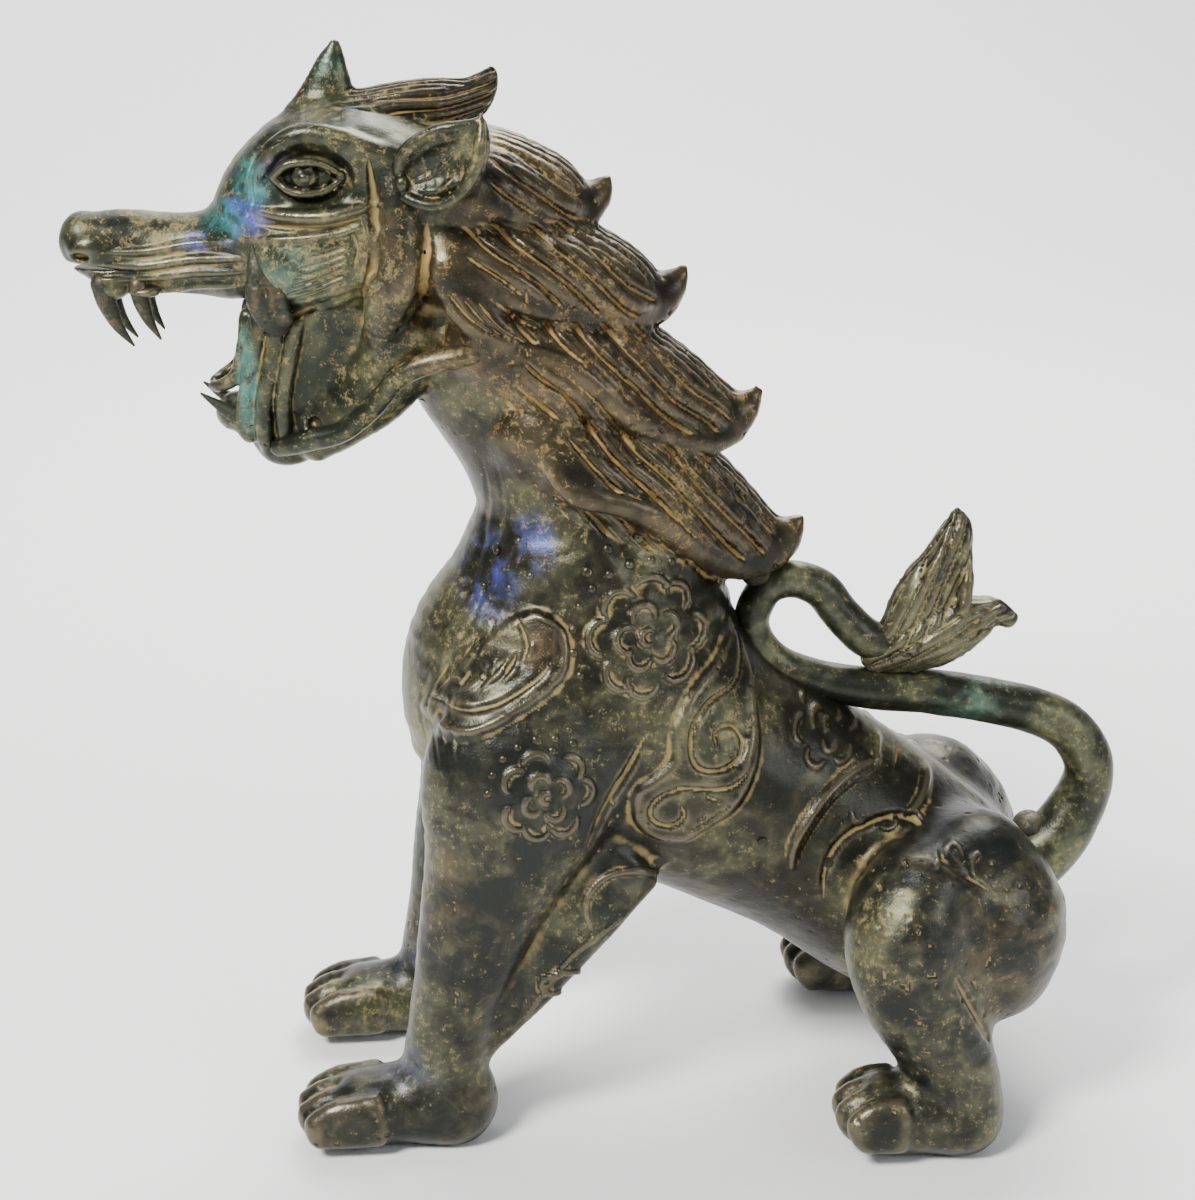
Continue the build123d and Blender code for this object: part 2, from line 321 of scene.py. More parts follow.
@dataclass
class Lattice:
    """A box of voxels, symmetric about the mid plane, in which a casting's skin is found."""

    low: Triple
    high: Triple
    voxel: float

    def skin(self, casting: Casting) -> tuple[np.ndarray, np.ndarray]:
        """Find the casting's surface in this box.

        Args:
            casting: The forms to measure.

        Returns:
            Points and quads of the skin, in millimetres, with faces outward.
        """
        counts = [int(math.ceil((b - a) / self.voxel / 4)) * 4 + 1 for a, b in zip(self.low, self.high)]
        origin = np.array([self.low[0], 0.0, self.low[2]])
        shape = (counts[0], counts[1] // 2 // 4 * 4 + 5, counts[2])
        values = np.full(shape, REACH)
        known = np.zeros(shape, bool)
        for stride in (4, 2, 1):
            index = np.stack(np.meshgrid(*(np.arange(0, n, stride) for n in shape), indexing="ij"), -1)
            index = index.reshape(-1, 3)
            if stride < 4:
                guess = values[tuple(index.T)]
                limit = stride * 2 * self.voxel * 1.8 + 1.2
                index = index[(np.abs(guess) < limit) & ~known[tuple(index.T)]]
            points = origin + index * self.voxel
            result = casting.field(points)
            values[tuple(index.T)] = result
            known[tuple(index.T)] = True
            if stride > 1:
                values = self._spread(values, known, stride)
        full = np.concatenate([values[:, :0:-1], values], axis=1).astype(np.float32)
        grid = openvdb.FloatGrid(REACH)
        grid.copyFromArray(full)
        points, _, quads = grid.convertToPolygons(isovalue=0.0, adaptivity=0.0)
        centre = np.array([0, shape[1] - 1, 0])
        points = (points - centre) * self.voxel + origin
        return points, quads.astype(np.int64)

    @staticmethod
    def _spread(values: np.ndarray, known: np.ndarray, stride: int) -> np.ndarray:
        """Fill the points between known ones with the mean of the known ones beside them.

        Args:
            values: The lattice so far.
            known: Which of its points are measured.
            stride: Step between the measured points.

        Returns:
            The filled lattice.
        """
        half = stride // 2
        result = values
        for axis in range(3):
            result = np.moveaxis(result, axis, 0)
            a = result[:-stride:stride]
            b = result[stride::stride]
            result[half::stride][: len(a)] = 0.5 * (a + b)
            result = np.moveaxis(result, 0, axis)
        result[known] = values[known]
        return result


def project(points: np.ndarray, casting: Casting, rounds: int = 2) -> np.ndarray:
    """Move points onto the casting's surface along its gradient.

    Args:
        points: Rows of places in millimetres.
        casting: The forms that make the surface.
        rounds: Newton steps to take.

    Returns:
        The moved points.
    """
    eps = 0.2
    for _ in range(rounds):
        value = casting.field(points)
        gradient = np.stack(
            [casting.field(points + eps * axis) - value for axis in np.eye(3)], axis=1
        ) / eps
        size = np.maximum((gradient**2).sum(axis=1), 0.2)
        step = np.clip(value / size, -1.0, 1.0)
        points = points - step[:, None] * gradient
    return points


# Relief


@dataclass
class Surface:
    """Points of the skin with what the relief needs to know of them."""

    points: np.ndarray
    normals: np.ndarray
    lift: np.ndarray = field(init=False)

    def __post_init__(self) -> None:
        """Start with no relief."""
        self.lift = np.zeros(len(self.points))

    @property
    def side_facing(self) -> np.ndarray:
        """How far each point faces away from the mid plane."""
        return self.normals[:, 1] * np.sign(self.points[:, 1])

    def under(self, rows: np.ndarray, margin: float, facing: float) -> np.ndarray:
        """Mask of the points that a drawing along some rows can reach.

        Args:
            rows: Path or outline as (x, z).
            margin: Reach beyond the rows.
            facing: Least share by which a point faces sideways.

        Returns:
            True where a point can be touched.
        """
        flat = self.points[:, [0, 2]]
        low, high = rows.min(axis=0) - margin, rows.max(axis=0) + margin
        return np.all((flat > low) & (flat < high), axis=1) & (self.side_facing > facing)

    def raise_by(self, mask: np.ndarray, amount: np.ndarray, facing: Point) -> None:
        """Add to the lift, and less where the skin turns away from the flank."""
        self.lift[mask] += amount * smooth_step(*facing, self.side_facing[mask])


def nearest(p: np.ndarray, rows: np.ndarray) -> tuple[np.ndarray, np.ndarray]:
    """Distance of flat points from a path, and their place along it from 0 to 1.

    Args:
        p: Rows of (x, z).
        rows: The path as rows of (x, z).

    Returns:
        Distances in millimetres, and places along the path.
    """
    best = np.full(len(p), FAR)
    place = np.zeros(len(p))
    for index, (a, b) in enumerate(zip(rows[:-1], rows[1:])):
        d = b - a
        t = np.clip((p - a) @ d / max(d @ d, 1e-9), 0.0, 1.0)
        dist = np.linalg.norm(p - a - t[:, None] * d, axis=1)
        closer = dist < best
        best[closer] = dist[closer]
        place[closer] = (index + t[closer]) / (len(rows) - 1)
    return best, place


@dataclass
class Stroke:
    """A ridge, or a groove if its height is negative, drawn on the flank as seen from the side."""

    path: Sequence[Point]
    width: float = 1.6
    height: float = 0.8
    closed: bool = False
    taper: float = 0.5
    facing: Point = (0.1, 0.4)
    steps: int = 5

    def apply(self, skin: Surface) -> None:
        """Add this stroke to the skin's lift.

        Args:
            skin: The skin whose lift is changed.
        """
        rows = np.array(self.path, float)
        if len(rows) > 2:
            rows = catmull_rom(rows, self.steps, self.closed)
        mask = skin.under(rows, self.width, self.facing[0])
        if not mask.any():
            return
        best, place = nearest(skin.points[mask][:, [0, 2]], rows)
        size = np.ones(len(best))
        if not self.closed and self.taper > 0:
            size = np.clip(np.minimum(place, 1 - place) / 0.25, 0.05, 1.0) ** self.taper
        s = np.clip(best / (self.width * size), 0.0, 1.0)
        skin.raise_by(mask, self.height * size * (1 - s * s) ** 2, self.facing)


@dataclass
class Plateau:
    """A raised field with a soft edge, inside a closed outline on the flank."""

    outline: Sequence[Point]
    height: float = 1.0
    edge: float = 1.6
    facing: Point = (0.1, 0.4)

    def apply(self, skin: Surface) -> None:
        """Add this field to the skin's lift.

        Args:
            skin: The skin whose lift is changed.
        """
        rows = catmull_rom(np.array(self.outline, float), 5, closed=True)
        mask = skin.under(rows, self.edge, self.facing[0])
        p = skin.points[mask][:, [0, 2]]
        best, _ = nearest(p, rows)
        inside = np.zeros(len(p), bool)
        for a, b in zip(rows[:-1], rows[1:]):
            crosses = (a[1] > p[:, 1]) != (b[1] > p[:, 1])
            rise = b[1] - a[1] if b[1] != a[1] else 1e-9
            inside ^= crosses & (p[:, 0] < a[0] + (p[:, 1] - a[1]) * (b[0] - a[0]) / rise)
        depth = np.where(inside, best, -best)
        skin.raise_by(mask, self.height * smooth_step(-0.3 * self.edge, self.edge, depth), self.facing)


@dataclass
class Veins:
    """Grooves that slant across a lock, run along its top and stop short of its rolled edge."""

    chain: Chain
    slant: float
    spacing: float
    depth: float
    seed: int
    rim: Sequence[Triple] = ()

    def apply(self, skin: Surface) -> None:
        """Cut the grooves into the points that lie on this lock's form.

        Args:
            skin: The skin whose lift is changed.
        """
        p = skin.points.copy()
        p[:, 1] = np.abs(p[:, 1])
        close = self.chain.distance(p)
        mask = np.abs(close) < 2.4
        p = p[mask]
        a = math.radians(self.slant)
        wobble = value_noise(skin.points[mask], 16.0, self.seed)
        place = (p[:, 2] * math.cos(a) - p[:, 0] * math.sin(a)) / self.spacing + 0.3 * wobble
        amount = 1 - smooth_step(1.2, 2.4, np.abs(close[mask]))
        if self.rim:
            rows = catmull_rom(np.array(self.rim)[:, [0, 2]], 4)
            gap = np.linalg.norm(p[:, None, ::2] - rows[None], axis=2).min(axis=1)
            amount *= smooth_step(2.2, 4.2, gap) * smooth_step(2, 12, p[:, 0] - rows[-1, 0])
            amount *= smooth_step(5, 9, np.linalg.norm(p[:, ::2] - rows[0], axis=1))
        flank = smooth_step(0.3, 0.6, skin.side_facing[mask])
        profile = flank * self._profile(place)
        profile += (1 - flank) * self._profile(p[:, 1] / (0.8 * self.spacing) + 0.3 * wobble + 0.5)
        skin.lift[mask] += self.depth * amount * profile

    def _profile(self, place: np.ndarray) -> np.ndarray:
        """Height across the grooves, one groove at each whole number.

        Args:
            place: Position across the grooves, counted in grooves.

        Returns:
            Height for each place.
        """
        off = np.abs(place - np.round(place)) * self.spacing
        fine = np.abs(3 * place - np.round(3 * place)) * self.spacing / 3
        plump = 0.35 * (1 - (1 - 2 * off / self.spacing) ** 2)
        return plump - (1 - smooth_step(0, 1.1, off)) - 0.16 * (1 - smooth_step(0, 0.5, fine))


Mark = Stroke | Plateau | Veins


def arc(centre: Point, radius: float, start: float, sweep: float, squash: float = 1.0) -> list[Point]:
    """Points of a circular arc, with angles in degrees.

    Args:
        centre: Middle as (x, z).
        radius: Radius along X.
        start: Angle of the first point.
        sweep: Angle from the first point to the last.
        squash: Height as a share of the width.

    Returns:
        The points in order.
    """
    count = max(4, int(abs(sweep) / 30))
    angles = [math.radians(start + sweep * k / count) for k in range(count + 1)]
    return [(centre[0] + radius * math.cos(a), centre[1] + radius * squash * math.sin(a)) for a in angles]


# Forms of the figure


@dataclass
class Head:
    """Skull, jaws, crown and horn."""

    eye: Triple = (-86.0, 19.5, 286.3)

    def parts(self) -> list[Part]:
        """Forms before the hollows are cut."""
        skull = "head_shell"
        jaw = "lower_jaw"
        return [
            Chain(skull, [
                (-151.5, 0, 265, 5.5, 6), (-147, 0, 264, 8.6, 9), (-138, 0, 262.4, 9, 11.6),
                (-126, 0, 261.2, 9.6, 11.6), (-116, 0, 261, 11.5, 12), (-107, 0, 262.4, 14.5, 14.2),
                (-98, 0, 267, 18.5, 18), (-90, 0, 272, 23, 24), (-77, 0, 276, 26.5, 29),
                (-60, 0, 273, 28, 29), (-46, 0, 268, 25, 27),
            ], 4),
            Chain(skull, [(-95, 14, 279, 6), (-87, 16, 289, 7), (-75, 16, 291, 11, 9.5),
                          (-61, 17, 288, 9.5, 9)], 5),
            Blob(skull, (-84, 18, 262), (18, 9.5, 13), 4),
            Chain(skull, [(-63, 23, 291, 5), (-62, 25.5, 277, 6, 6.5), (-62, 26, 262, 6.5, 7),
                          (-65, 24, 250, 6, 7), (-67, 20, 241, 4, 5)], 2.2),
            Chain(skull, [(-101, 15.5, 277, 1.6), (-100, 19, 285, 2.4), (-95.4, 21, 292.6, 2.8),
                          (-88, 22.5, 297, 3.3), (-79, 24, 296.6, 3.3),
                          (-70, 25.4, 293.6, 2.9), (-62, 26.6, 291, 2.4)], 1.6),
            Chain(skull, [(-103, 15, 277, 1.6), (-92, 22, 275.4, 2.6), (-81, 25.4, 275.4, 2.6),
                          (-72, 26, 278, 2)], 1.6),
            Blob(skull, (-147, 5.6, 264.3), (7, 4.8, 4.6), 1.2),
            Blob(skull, (-150.5, 0, 268), (4.5, 6, 5.2), 3),
            Blob(skull, (-142, 4.6, 253.2), (5.5, 4.6, 4), 2),
            Blob(skull, (-133, 6.8, 252.2), (4.3, 3.2, 2.4), 0.8),
            Chain(jaw, [(-98, 0, 206, 8, 6), (-95, 0, 213, 10, 12), (-90, 0, 224, 12.5, 16),
                        (-85, 0, 237, 16, 19), (-80, 0, 250, 20)], 3),
            Chain(jaw, [(-88, 9, 209, 5.5, 7), (-77, 11, 217, 8, 9), (-67, 13, 227, 9, 11),
                        (-60, 15, 240, 9, 11)], 4),
            Chain(jaw, [(-99.5, 12.5, 248, 2.8), (-102.3, 12, 239, 3), (-103.8, 11, 229, 3),
                        (-105.5, 9, 219, 3), (-105, 6, 210.5, 3)], 1.0),
            Chain(jaw, [(-95.5, 14.6, 245, 2.4), (-98, 14, 233, 2.6), (-100.4, 12.4, 222, 2.6),
                        (-101, 9.4, 211, 2.6), (-99, 5, 205, 2.4)], 0.8),
            Chain(jaw, [(-90.5, 16.6, 244, 2.2), (-93.4, 15.4, 232, 2.5), (-95.2, 13.6, 221, 2.5),
                        (-95, 11, 212, 2.5), (-94, 7, 206, 2.2)], 0.8),
            Chain(jaw, [(-104.5, 8.5, 245, 2.2), (-106, 8.5, 236, 2.2), (-108, 8, 228, 2.2),
                        (-112.5, 6.4, 224.6, 2), (-115, 3, 223.8, 1.6)], 1.2),
            Blob(jaw, (-108.5, 0, 215.5), (6.4, 8.5, 5.6), 3),
            Blob(jaw, (-94.5, 5, 205), (7.5, 5.5, 4.6), 1.5),
            Chain("brow_horn", [(-81.5, 0, 298, 7, 11.5), (-80.5, 0, 306, 4.6, 7.4),
                                (-79.3, 0, 313, 3.4, 4.4), (-78, 0, 319, 1, 1.4)], 3),
            self.crown(),
        ]

    @staticmethod
    def crown() -> Chain:
        """The lock of hair on the crown."""
        return Chain("crown_lock", [
            (-79, 0, 298, 10, 5.5), (-64, 0, 300.5, 12, 7), (-51, 0, 301.5, 10.5, 7.5),
            (-42, 0, 303, 6.5, 6), (-37, 0, 307, 3.6, 3.8), (-35, 0, 311, 1.2, 1.4),
        ], 1.6)

    def cuts(self) -> list[Part]:
        """Eye sockets, mouth and the deep pit in the jaw."""
        return [
            Blob("cut", (-85.8, 28.6, 285.8), (12.6, 9.6, 8.4), 1.4),
            Blob("cut", (-150, 9, 262), (2.6, 3, 1.3), 0.8),
            Blob("cut", (-144, 0, 258.8), (14, 12, 0.9), 0.8),
            Blob("cut", (-107, 0, 238), (15, 8, 9.5), 2),
            Blob("cut", (-125, 0, 248.5), (15, 4.6, 3.2), 1.5),
            Blob("cut", (-87, 18, 215), (2.4, 6, 2.6), 1),
        ]

    def extras(self) -> list[Part]:
        """Eyeballs, lids and pupils, which stand in the sockets."""
        x, y, z = self.eye
        lids = [
            [(x - 9.6, y + 3.4, z - 0.6, 1), (x - 5, y + 5.6, z + 3.4, 1.3),
             (x + 3, y + 6, z + 3.6, 1.3), (x + 9.6, y + 3.6, z - 0.4, 1)],
            [(x - 9.2, y + 3.2, z - 1, 0.9), (x - 4, y + 5, z - 4.4, 1.1),
             (x + 4, y + 5, z - 4.2, 1.1), (x + 9.4, y + 3.4, z - 0.8, 0.9)],
        ]
        return [
            Blob("head_shell", (x, y - 1.6, z - 0.4), (9.4, 6.6, 5.6), 1.2),
            *(Chain("head_shell", lid, 0.5) for lid in lids),
            Blob("head_shell", (x - 0.8, y + 4.6, z - 0.3), (3.8, 2.4, 2.9), 0.4),
            Blob("head_shell", (x - 0.8, y + 6.6, z - 0.2), (1.7, 1.1, 1.4), 0.4),
        ]

    def relief(self) -> list[Mark]:
        """Lips, folds and grooves of the cheek, and the hair of the crown."""
        lips = [
            Stroke([(-143, 263.5), (-132, 263.5), (-120, 265.5), (-106, 267)], 1.8, 1.0),
            Stroke([(-148, 259.3), (-134, 259.3), (-119, 261.5), (-104, 262.6)], 2.0, 1.3),
            Stroke([(-147, 255.3), (-132, 256), (-119, 257.8), (-104, 258.6)], 1.9, 1.2),
            Stroke([(-138, 251.8), (-128, 252.2), (-117, 253.8), (-103, 254.6)], 1.7, 1.0),
        ]
        folds = [
            Stroke([(-103, 277), (-94, 275.6), (-83, 275.6), (-75, 277), (-67, 279)], 2.4, 1.4),
            Stroke([(-102, 272.6), (-90, 272.3), (-80, 273), (-72, 275)], 1.1, -0.9),
            Stroke([(-103, 268.5), (-89, 269.5), (-78, 271), (-71.5, 273)], 1.8, 1.1),
            Stroke([(-71.5, 276), (-69, 270), (-70, 264), (-71, 260)], 1.8, 1.3),
            Stroke([(-74.5, 271), (-73, 266), (-74.5, 262)], 1.0, -0.7),
            Stroke([(-71, 258.6), (-70.2, 257.6)], 3.0, 1.2, taper=0),
            Stroke([(-96, 244), (-88, 248), (-79, 252), (-71, 254.5), (-67, 257)], 1.6, -1.0),
        ]
        fan = [
            Stroke([(-94 + 1.2 * k, 251 + 2.6 * k), (-85 + 0.8 * k, 254 + 2.3 * k), (-76, 258 + 1.9 * k)],
                   1.1, -0.9)
            for k in range(6)
        ]
        column = [
            Stroke([(-101, 277), (-101.6, 285), (-98.6, 293), (-91, 297)], 1.2, -0.8),
            Stroke([(-69.5, 291), (-68.5, 278), (-69, 264), (-72, 252)], 2.0, -1.7),
            Stroke([(-54, 274), (-54.5, 264), (-57, 252), (-63, 243)], 2.4, -0.9),
            Stroke([(-62, 292), (-58, 289), (-56, 283)], 1.2, 0.7),
        ]
        crown = Veins(self.crown(), 6, 3.4, 0.9, 21)
        return [*lips, *folds, *fan, *column, crown]


@dataclass
class Ears:
    """Leaf shaped ear cups and the crescent tusks at the corners of the mouth."""

    def parts(self) -> list[Part]:
        """Solid leaves and crescents."""
        return [
            Chain("ear", [(-61, 24, 282, 3, 4.5), (-56, 28, 286.5, 5.5, 9.5), (-48, 32, 291, 5.5, 10.5),
                          (-42, 34.6, 297, 4, 6), (-39.6, 36, 302, 1.6, 2)], 2),
            Chain("cheek_tusk", [(-95.4, 17.5, 242.6, 2, 2.8), (-97.2, 20, 248, 3.4, 5.2),
                                 (-98.8, 21, 253.8, 3.2, 5.6), (-100.6, 20.6, 260.4, 2.2, 3.4),
                                 (-102, 19.6, 267, 0.5, 0.6)], 1.5),
        ]

    def cuts(self) -> list[Part]:
        """The bowl of the ear and the hollow of the crescent."""
        return [
            Chain("cut", [(-60, 34, 286, 4, 3.5), (-53, 38.5, 289, 6.5, 6.6), (-47, 41, 293, 6, 6.4),
                          (-42.5, 42, 299, 3.6, 2.6)], 1.2),
            Chain("cut", [(-99.4, 24.4, 260.4, 1, 0.9), (-98.6, 25, 254, 1.8),
                          (-96.8, 24.6, 248, 1.2)], 0.6),
        ]

    def extras(self) -> list[Part]:
        """The rolled rim of the ear, the notch at its root and the tusk's boss."""
        return [
            Chain("ear", [(-60, 31, 281.5, 1.7), (-53, 35, 279.5, 1.9), (-46, 38, 282.5, 1.9),
                          (-41.5, 39.6, 290, 1.8), (-39.4, 39, 298, 1.5),
                          (-39.4, 37, 304, 0.7)], 0.8),
            Chain("ear", [(-61.5, 30, 288, 1.7), (-59, 33, 294, 1.8), (-52, 35.6, 299.4, 1.8),
                          (-45.6, 37, 301, 1.6), (-40.2, 37.2, 302.4, 0.9)], 0.8),
            Blob("ear", (-60.6, 31.6, 285), (2, 2, 2.4), 0.8),
            Chain("cheek_tusk", [(-96.6, 22, 259, 0.8), (-94.6, 23, 254, 1.1, 1.3),
                                 (-93.6, 22, 248.6, 1, 1.2)], 0.4),
            Blob("cheek_tusk", (-93.4, 21.4, 246.6), (2.2, 2.2, 2.2), 0.6),
        ]

    def relief(self) -> list[Mark]:
        """Veins of the ear's bowl."""
        return [Stroke([(-58, 285), (-52, 288), (-46, 294)], 1.0, 0.5),
                Stroke([(-52, 282.5), (-47, 287), (-43.5, 294)], 0.9, 0.4)]


@dataclass
class Mane:
    """Four overlapping flame locks, each with engraved strands and a rolled lower edge."""

    locks: tuple[tuple[Station, ...], ...] = (
        ((-60, 0, 283, 26, 13), (-42, 0, 280, 29, 16.6), (-24, 0, 276, 21, 13.6), (-12, 0, 273.6, 9.5, 7.4),
         (-6, 0, 276, 4.8), (-2.6, 0, 281, 1.3, 1.6)),
        ((-48, 0, 262, 32, 17), (-24, 0, 256, 31, 18), (-4, 0, 249.5, 21, 14.4), (8, 0, 246.6, 10, 8.6),
         (14.5, 0, 249, 5, 5.6), (19.4, 0, 254.6, 1.4, 1.7)),
        ((-38, 0, 239, 31, 18), (-13, 0, 228, 32, 20.6), (10, 0, 218.4, 22, 16.6), (26, 0, 212, 11, 10.6),
         (35.5, 0, 213, 5.4, 6), (41.4, 0, 218.6, 1.4, 1.7)),
        ((-26, 0, 213, 30, 19), (-3, 0, 198, 33, 22), (20, 0, 184, 26, 18.6), (38, 0, 174, 13, 11.4),
         (48.5, 0, 174, 6.2, 6.6), (54.4, 0, 179.6, 1.5, 1.8)),
    )
    edges: tuple[tuple[Triple, ...], ...] = (
        ((-5, 2, 276), (-9, 5.5, 270.5), (-14, 10.5, 268.5), (-22, 18, 270.5), (-31, 24.5, 274.5),
         (-41, 28, 280)),
        ((16.5, 1.5, 250.5), (12, 4, 245), (6, 9, 241.5), (-1, 15.5, 242), (-14, 24, 246.5),
         (-27, 29.5, 250.5), (-37, 31.5, 256), (-48, 32, 263.5)),
        ((38, 1.5, 214), (34, 4, 209), (28, 9, 206.5), (20, 15.5, 207), (10, 22.5, 212), (0, 28, 219.5),
         (-8, 30.5, 227.5), (-16, 32, 234), (-25, 32, 237.5), (-36, 31, 238.5)),
        ((51, 1.5, 175), (47, 4.5, 171.5), (41, 9, 169.5), (32, 16.5, 171), (20, 25, 179.5),
         (8, 31.5, 190), (-3, 34.5, 195), (-13, 35.5, 197), (-20, 33.5, 204), (-22, 30.5, 213)),
    )

    def chains(self) -> list[Chain]:
        """One form for each lock."""
        return [Chain(f"mane_lock_{k}", lock, 1.2) for k, lock in enumerate(self.locks, start=1)]

    def rolled_edges(self) -> list[Chain]:
        """The rolled lower edge of each lock, thin at the tip and at the root."""
        result = []
        for number, edge in enumerate(self.edges, start=1):
            count = len(edge) - 1
            stations = []
            for k, point in enumerate(edge):
                t = k / count
                radius = 0.7 + (1.9 + 0.3 * number) * math.sin(math.pi * min(0.96, 0.3 + 0.68 * t))
                x, y, z = point
                stations.append((x, y - 3.2 * max(0.0, t - 0.6), z, radius * 0.8, radius * 1.2))
            result.append(Chain(f"mane_lock_{number}", stations, 1.6, steps=3))
        return result

    def parts(self) -> list[Part]:
        """Locks with their edges, and the small lobe behind the jaw."""
        lobe = Chain("mane_lock_2", [(-50, 27, 262, 4), (-43, 29, 250, 4.5, 6), (-34, 29.5, 242, 4, 5)], 4)
        front = Chain("mane_lock_4", [(-24, 23, 226, 3, 4), (-20, 27.5, 212, 4, 5.5),
                                      (-11, 31.5, 200, 4, 5)], 6)
        return [*self.chains(), *self.rolled_edges(), lobe, front]

    def relief(self) -> list[Mark]:
        """Grooves of every lock."""
        slants = (-38, -42, -47, -49)
        cuts: list[Mark] = [
            Veins(chain, slant, 5.6, 1.6, seed, edge)
            for seed, (chain, slant, edge) in enumerate(zip(self.chains(), slants, self.edges), start=11)
        ]
        cuts += [
            Stroke([(-49 + 4 * k, 255 - k), (-43 + 4 * k, 248 - k), (-36 + 4 * k, 243 - k)], 1.0, -0.8)
            for k in range(3)
        ]
        return cuts


@dataclass
class Body:
    """Neck, chest, barrel and rump."""

    def parts(self) -> list[Part]:
        """Forms of the trunk."""
        return [
            Chain("neck_shell", [(-49, 0, 252, 20, 21), (-36, 0, 235, 24, 27), (-20.5, 0, 212, 25.5, 28),
                                 (-11.5, 0, 192, 28, 30), (-8, 0, 172, 32, 36.4)], 6, cap=0.5),
            Chain("torso_shell", [(-8, 0, 172, 32, 36.4), (-9.5, 0, 154, 37, 45.6), (-11.5, 0, 138, 41, 51.5),
                                  (-12, 0, 120, 41, 50), (-8, 0, 103, 34, 40), (-4, 0, 92, 22, 26)],
                  6, cap=0.5),
            Chain("torso_shell", [(-16, 0, 126, 28, 24), (6, 0, 114, 38, 39), (32, 0, 100, 37, 38),
                                  (62, 0, 83, 34, 36), (90, 0, 63, 35), (107, 0, 54, 29, 28),
                                  (117, 0, 50, 18)], 10),
            Blob("torso_shell", (119, 0, 66), (11, 10, 10), 7),
        ]


@dataclass
class Legs:
    """Both pairs of legs, with paws and the flame fins behind the forelegs."""

    front_y: float = 36.0
    hind_y: float = 54.0

    def parts(self) -> list[Part]:
        """Forms of one flank's legs."""
        front, hind, flame = "front_leg", "hind_leg", "elbow_flame"
        y, h = self.front_y, self.hind_y
        parts: list[Part] = [
            Chain(front, [(-22, 26, 138, 12, 16), (-26, 31, 124, 17.5, 27.5), (-31.4, 33.4, 108, 18.4, 28.6),
                          (-37.6, 35, 88, 16.6, 21.4), (-44.6, 36, 66, 14, 16.6), (-50.4, y, 44, 12, 13),
                          (-53.5, y, 26, 11.5, 12.4), (-53, y, 10, 11, 12)], 6),
            Blob(front, (-49, y, 13), (10.5, 11, 13), 3),
            Chain(front, [(-52, y, 12, 11, 11.5), (-64, y, 12, 12.5, 12), (-78, y, 11, 13.5, 11)], 6),
            Chain(hind, [(86, 42, 77, 19, 17), (81, 48, 67, 19.5, 18), (84, 51, 52, 17, 17.5),
                         (91, 53, 36, 14.5), (97, h, 22, 12.5), (98, h, 10, 12)], 5),
            Chain(hind, [(102, 30, 79, 20), (107, 34, 65, 24, 24.5), (108, 36, 52, 20)], 9),
            Chain(hind, [(99, h, 12, 12, 11), (87, h, 12.5, 13, 12.5), (76, h, 12.5, 14, 12)], 5),
            Chain(flame, [(-45, 37, 26, 2, 3.4), (-36, 38, 40, 3.4, 6.6), (-25, 37, 54, 4.4, 8.6),
                          (-12, 35, 69, 5, 9.6), (2, 31, 84, 5, 10)], 3),
            Chain(flame, [(-40, 36, 44, 3, 5), (-31, 35, 60, 4, 8), (-20, 33, 76, 5, 11),
                          (-9, 30, 92, 5, 12)], 4),
            Chain(flame, [(-39, 38.5, 37, 1.6), (-29, 39, 47, 2), (-18, 38.5, 56.5, 2.1),
                          (-10, 37.5, 66, 2.1), (0, 34, 77, 2), (10, 30, 84, 1.8)], 1),
        ]
        for toe in range(4):
            offset = (toe - 1.5) * 7.2
            back = 1.1 * (toe - 1.5) ** 2
            parts.append(Chain(front, [(-74, y + offset, 12, 4.6, 8.5), (-87 + back, y + offset, 11, 4.6, 8),
                                       (-94 + back, y + offset, 9, 4.3, 6)], 1.5))
            parts.append(Chain(hind, [(78, h + offset, 13.5, 4.6, 9), (69 + back, h + offset, 13, 4.6, 8.6),
                                      (64.5 + back, h + offset, 11, 4.3, 7)], 1.5))
        return parts


@dataclass
class Tuft:
    """The flame tuft at the end of the tail."""

    def parts(self) -> list[Part]:
        """Lobes of the tuft."""
        node = "tail_tuft"
        return [
            Chain(node, [(78, 0, 136, 5, 5.5), (87, 0, 140, 8, 9), (97, 0, 143, 9, 10),
                         (107, 0, 147, 7)], 2),
            Chain(node, [(104, 0, 144, 6), (112, 0, 149.5, 5.5, 4.5), (118.5, 0, 147, 2.8)], 1.5),
            Chain(node, [(88, 0, 143, 7, 9), (93, 0, 155, 7, 9.5), (98.5, 0, 166, 5.5, 7),
                         (101.5, 0, 175, 4, 4.6), (101, 0, 180.5, 1.6, 1.8)], 1.5),
            Chain(node, [(82, 3, 142, 2.4), (88, 5, 154, 2.6), (95, 5, 166, 2.2),
                         (99.5, 2.5, 177, 1.4)], 0.8),
            Chain(node, [(98, 4, 141, 2.2), (103, 6, 152, 2.4), (104.5, 4, 164, 1.8),
                         (104, 2, 172, 1.2)], 0.8),
        ]

    def relief(self) -> list[Mark]:
        """Grooves that run up the lobes."""
        base, back, top = self.parts()[:3]
        return [Veins(base, 30, 4.4, 0.7, 30), Veins(back, 12, 3.6, 0.8, 31), Veins(top, 68, 3.8, 0.9, 32)]


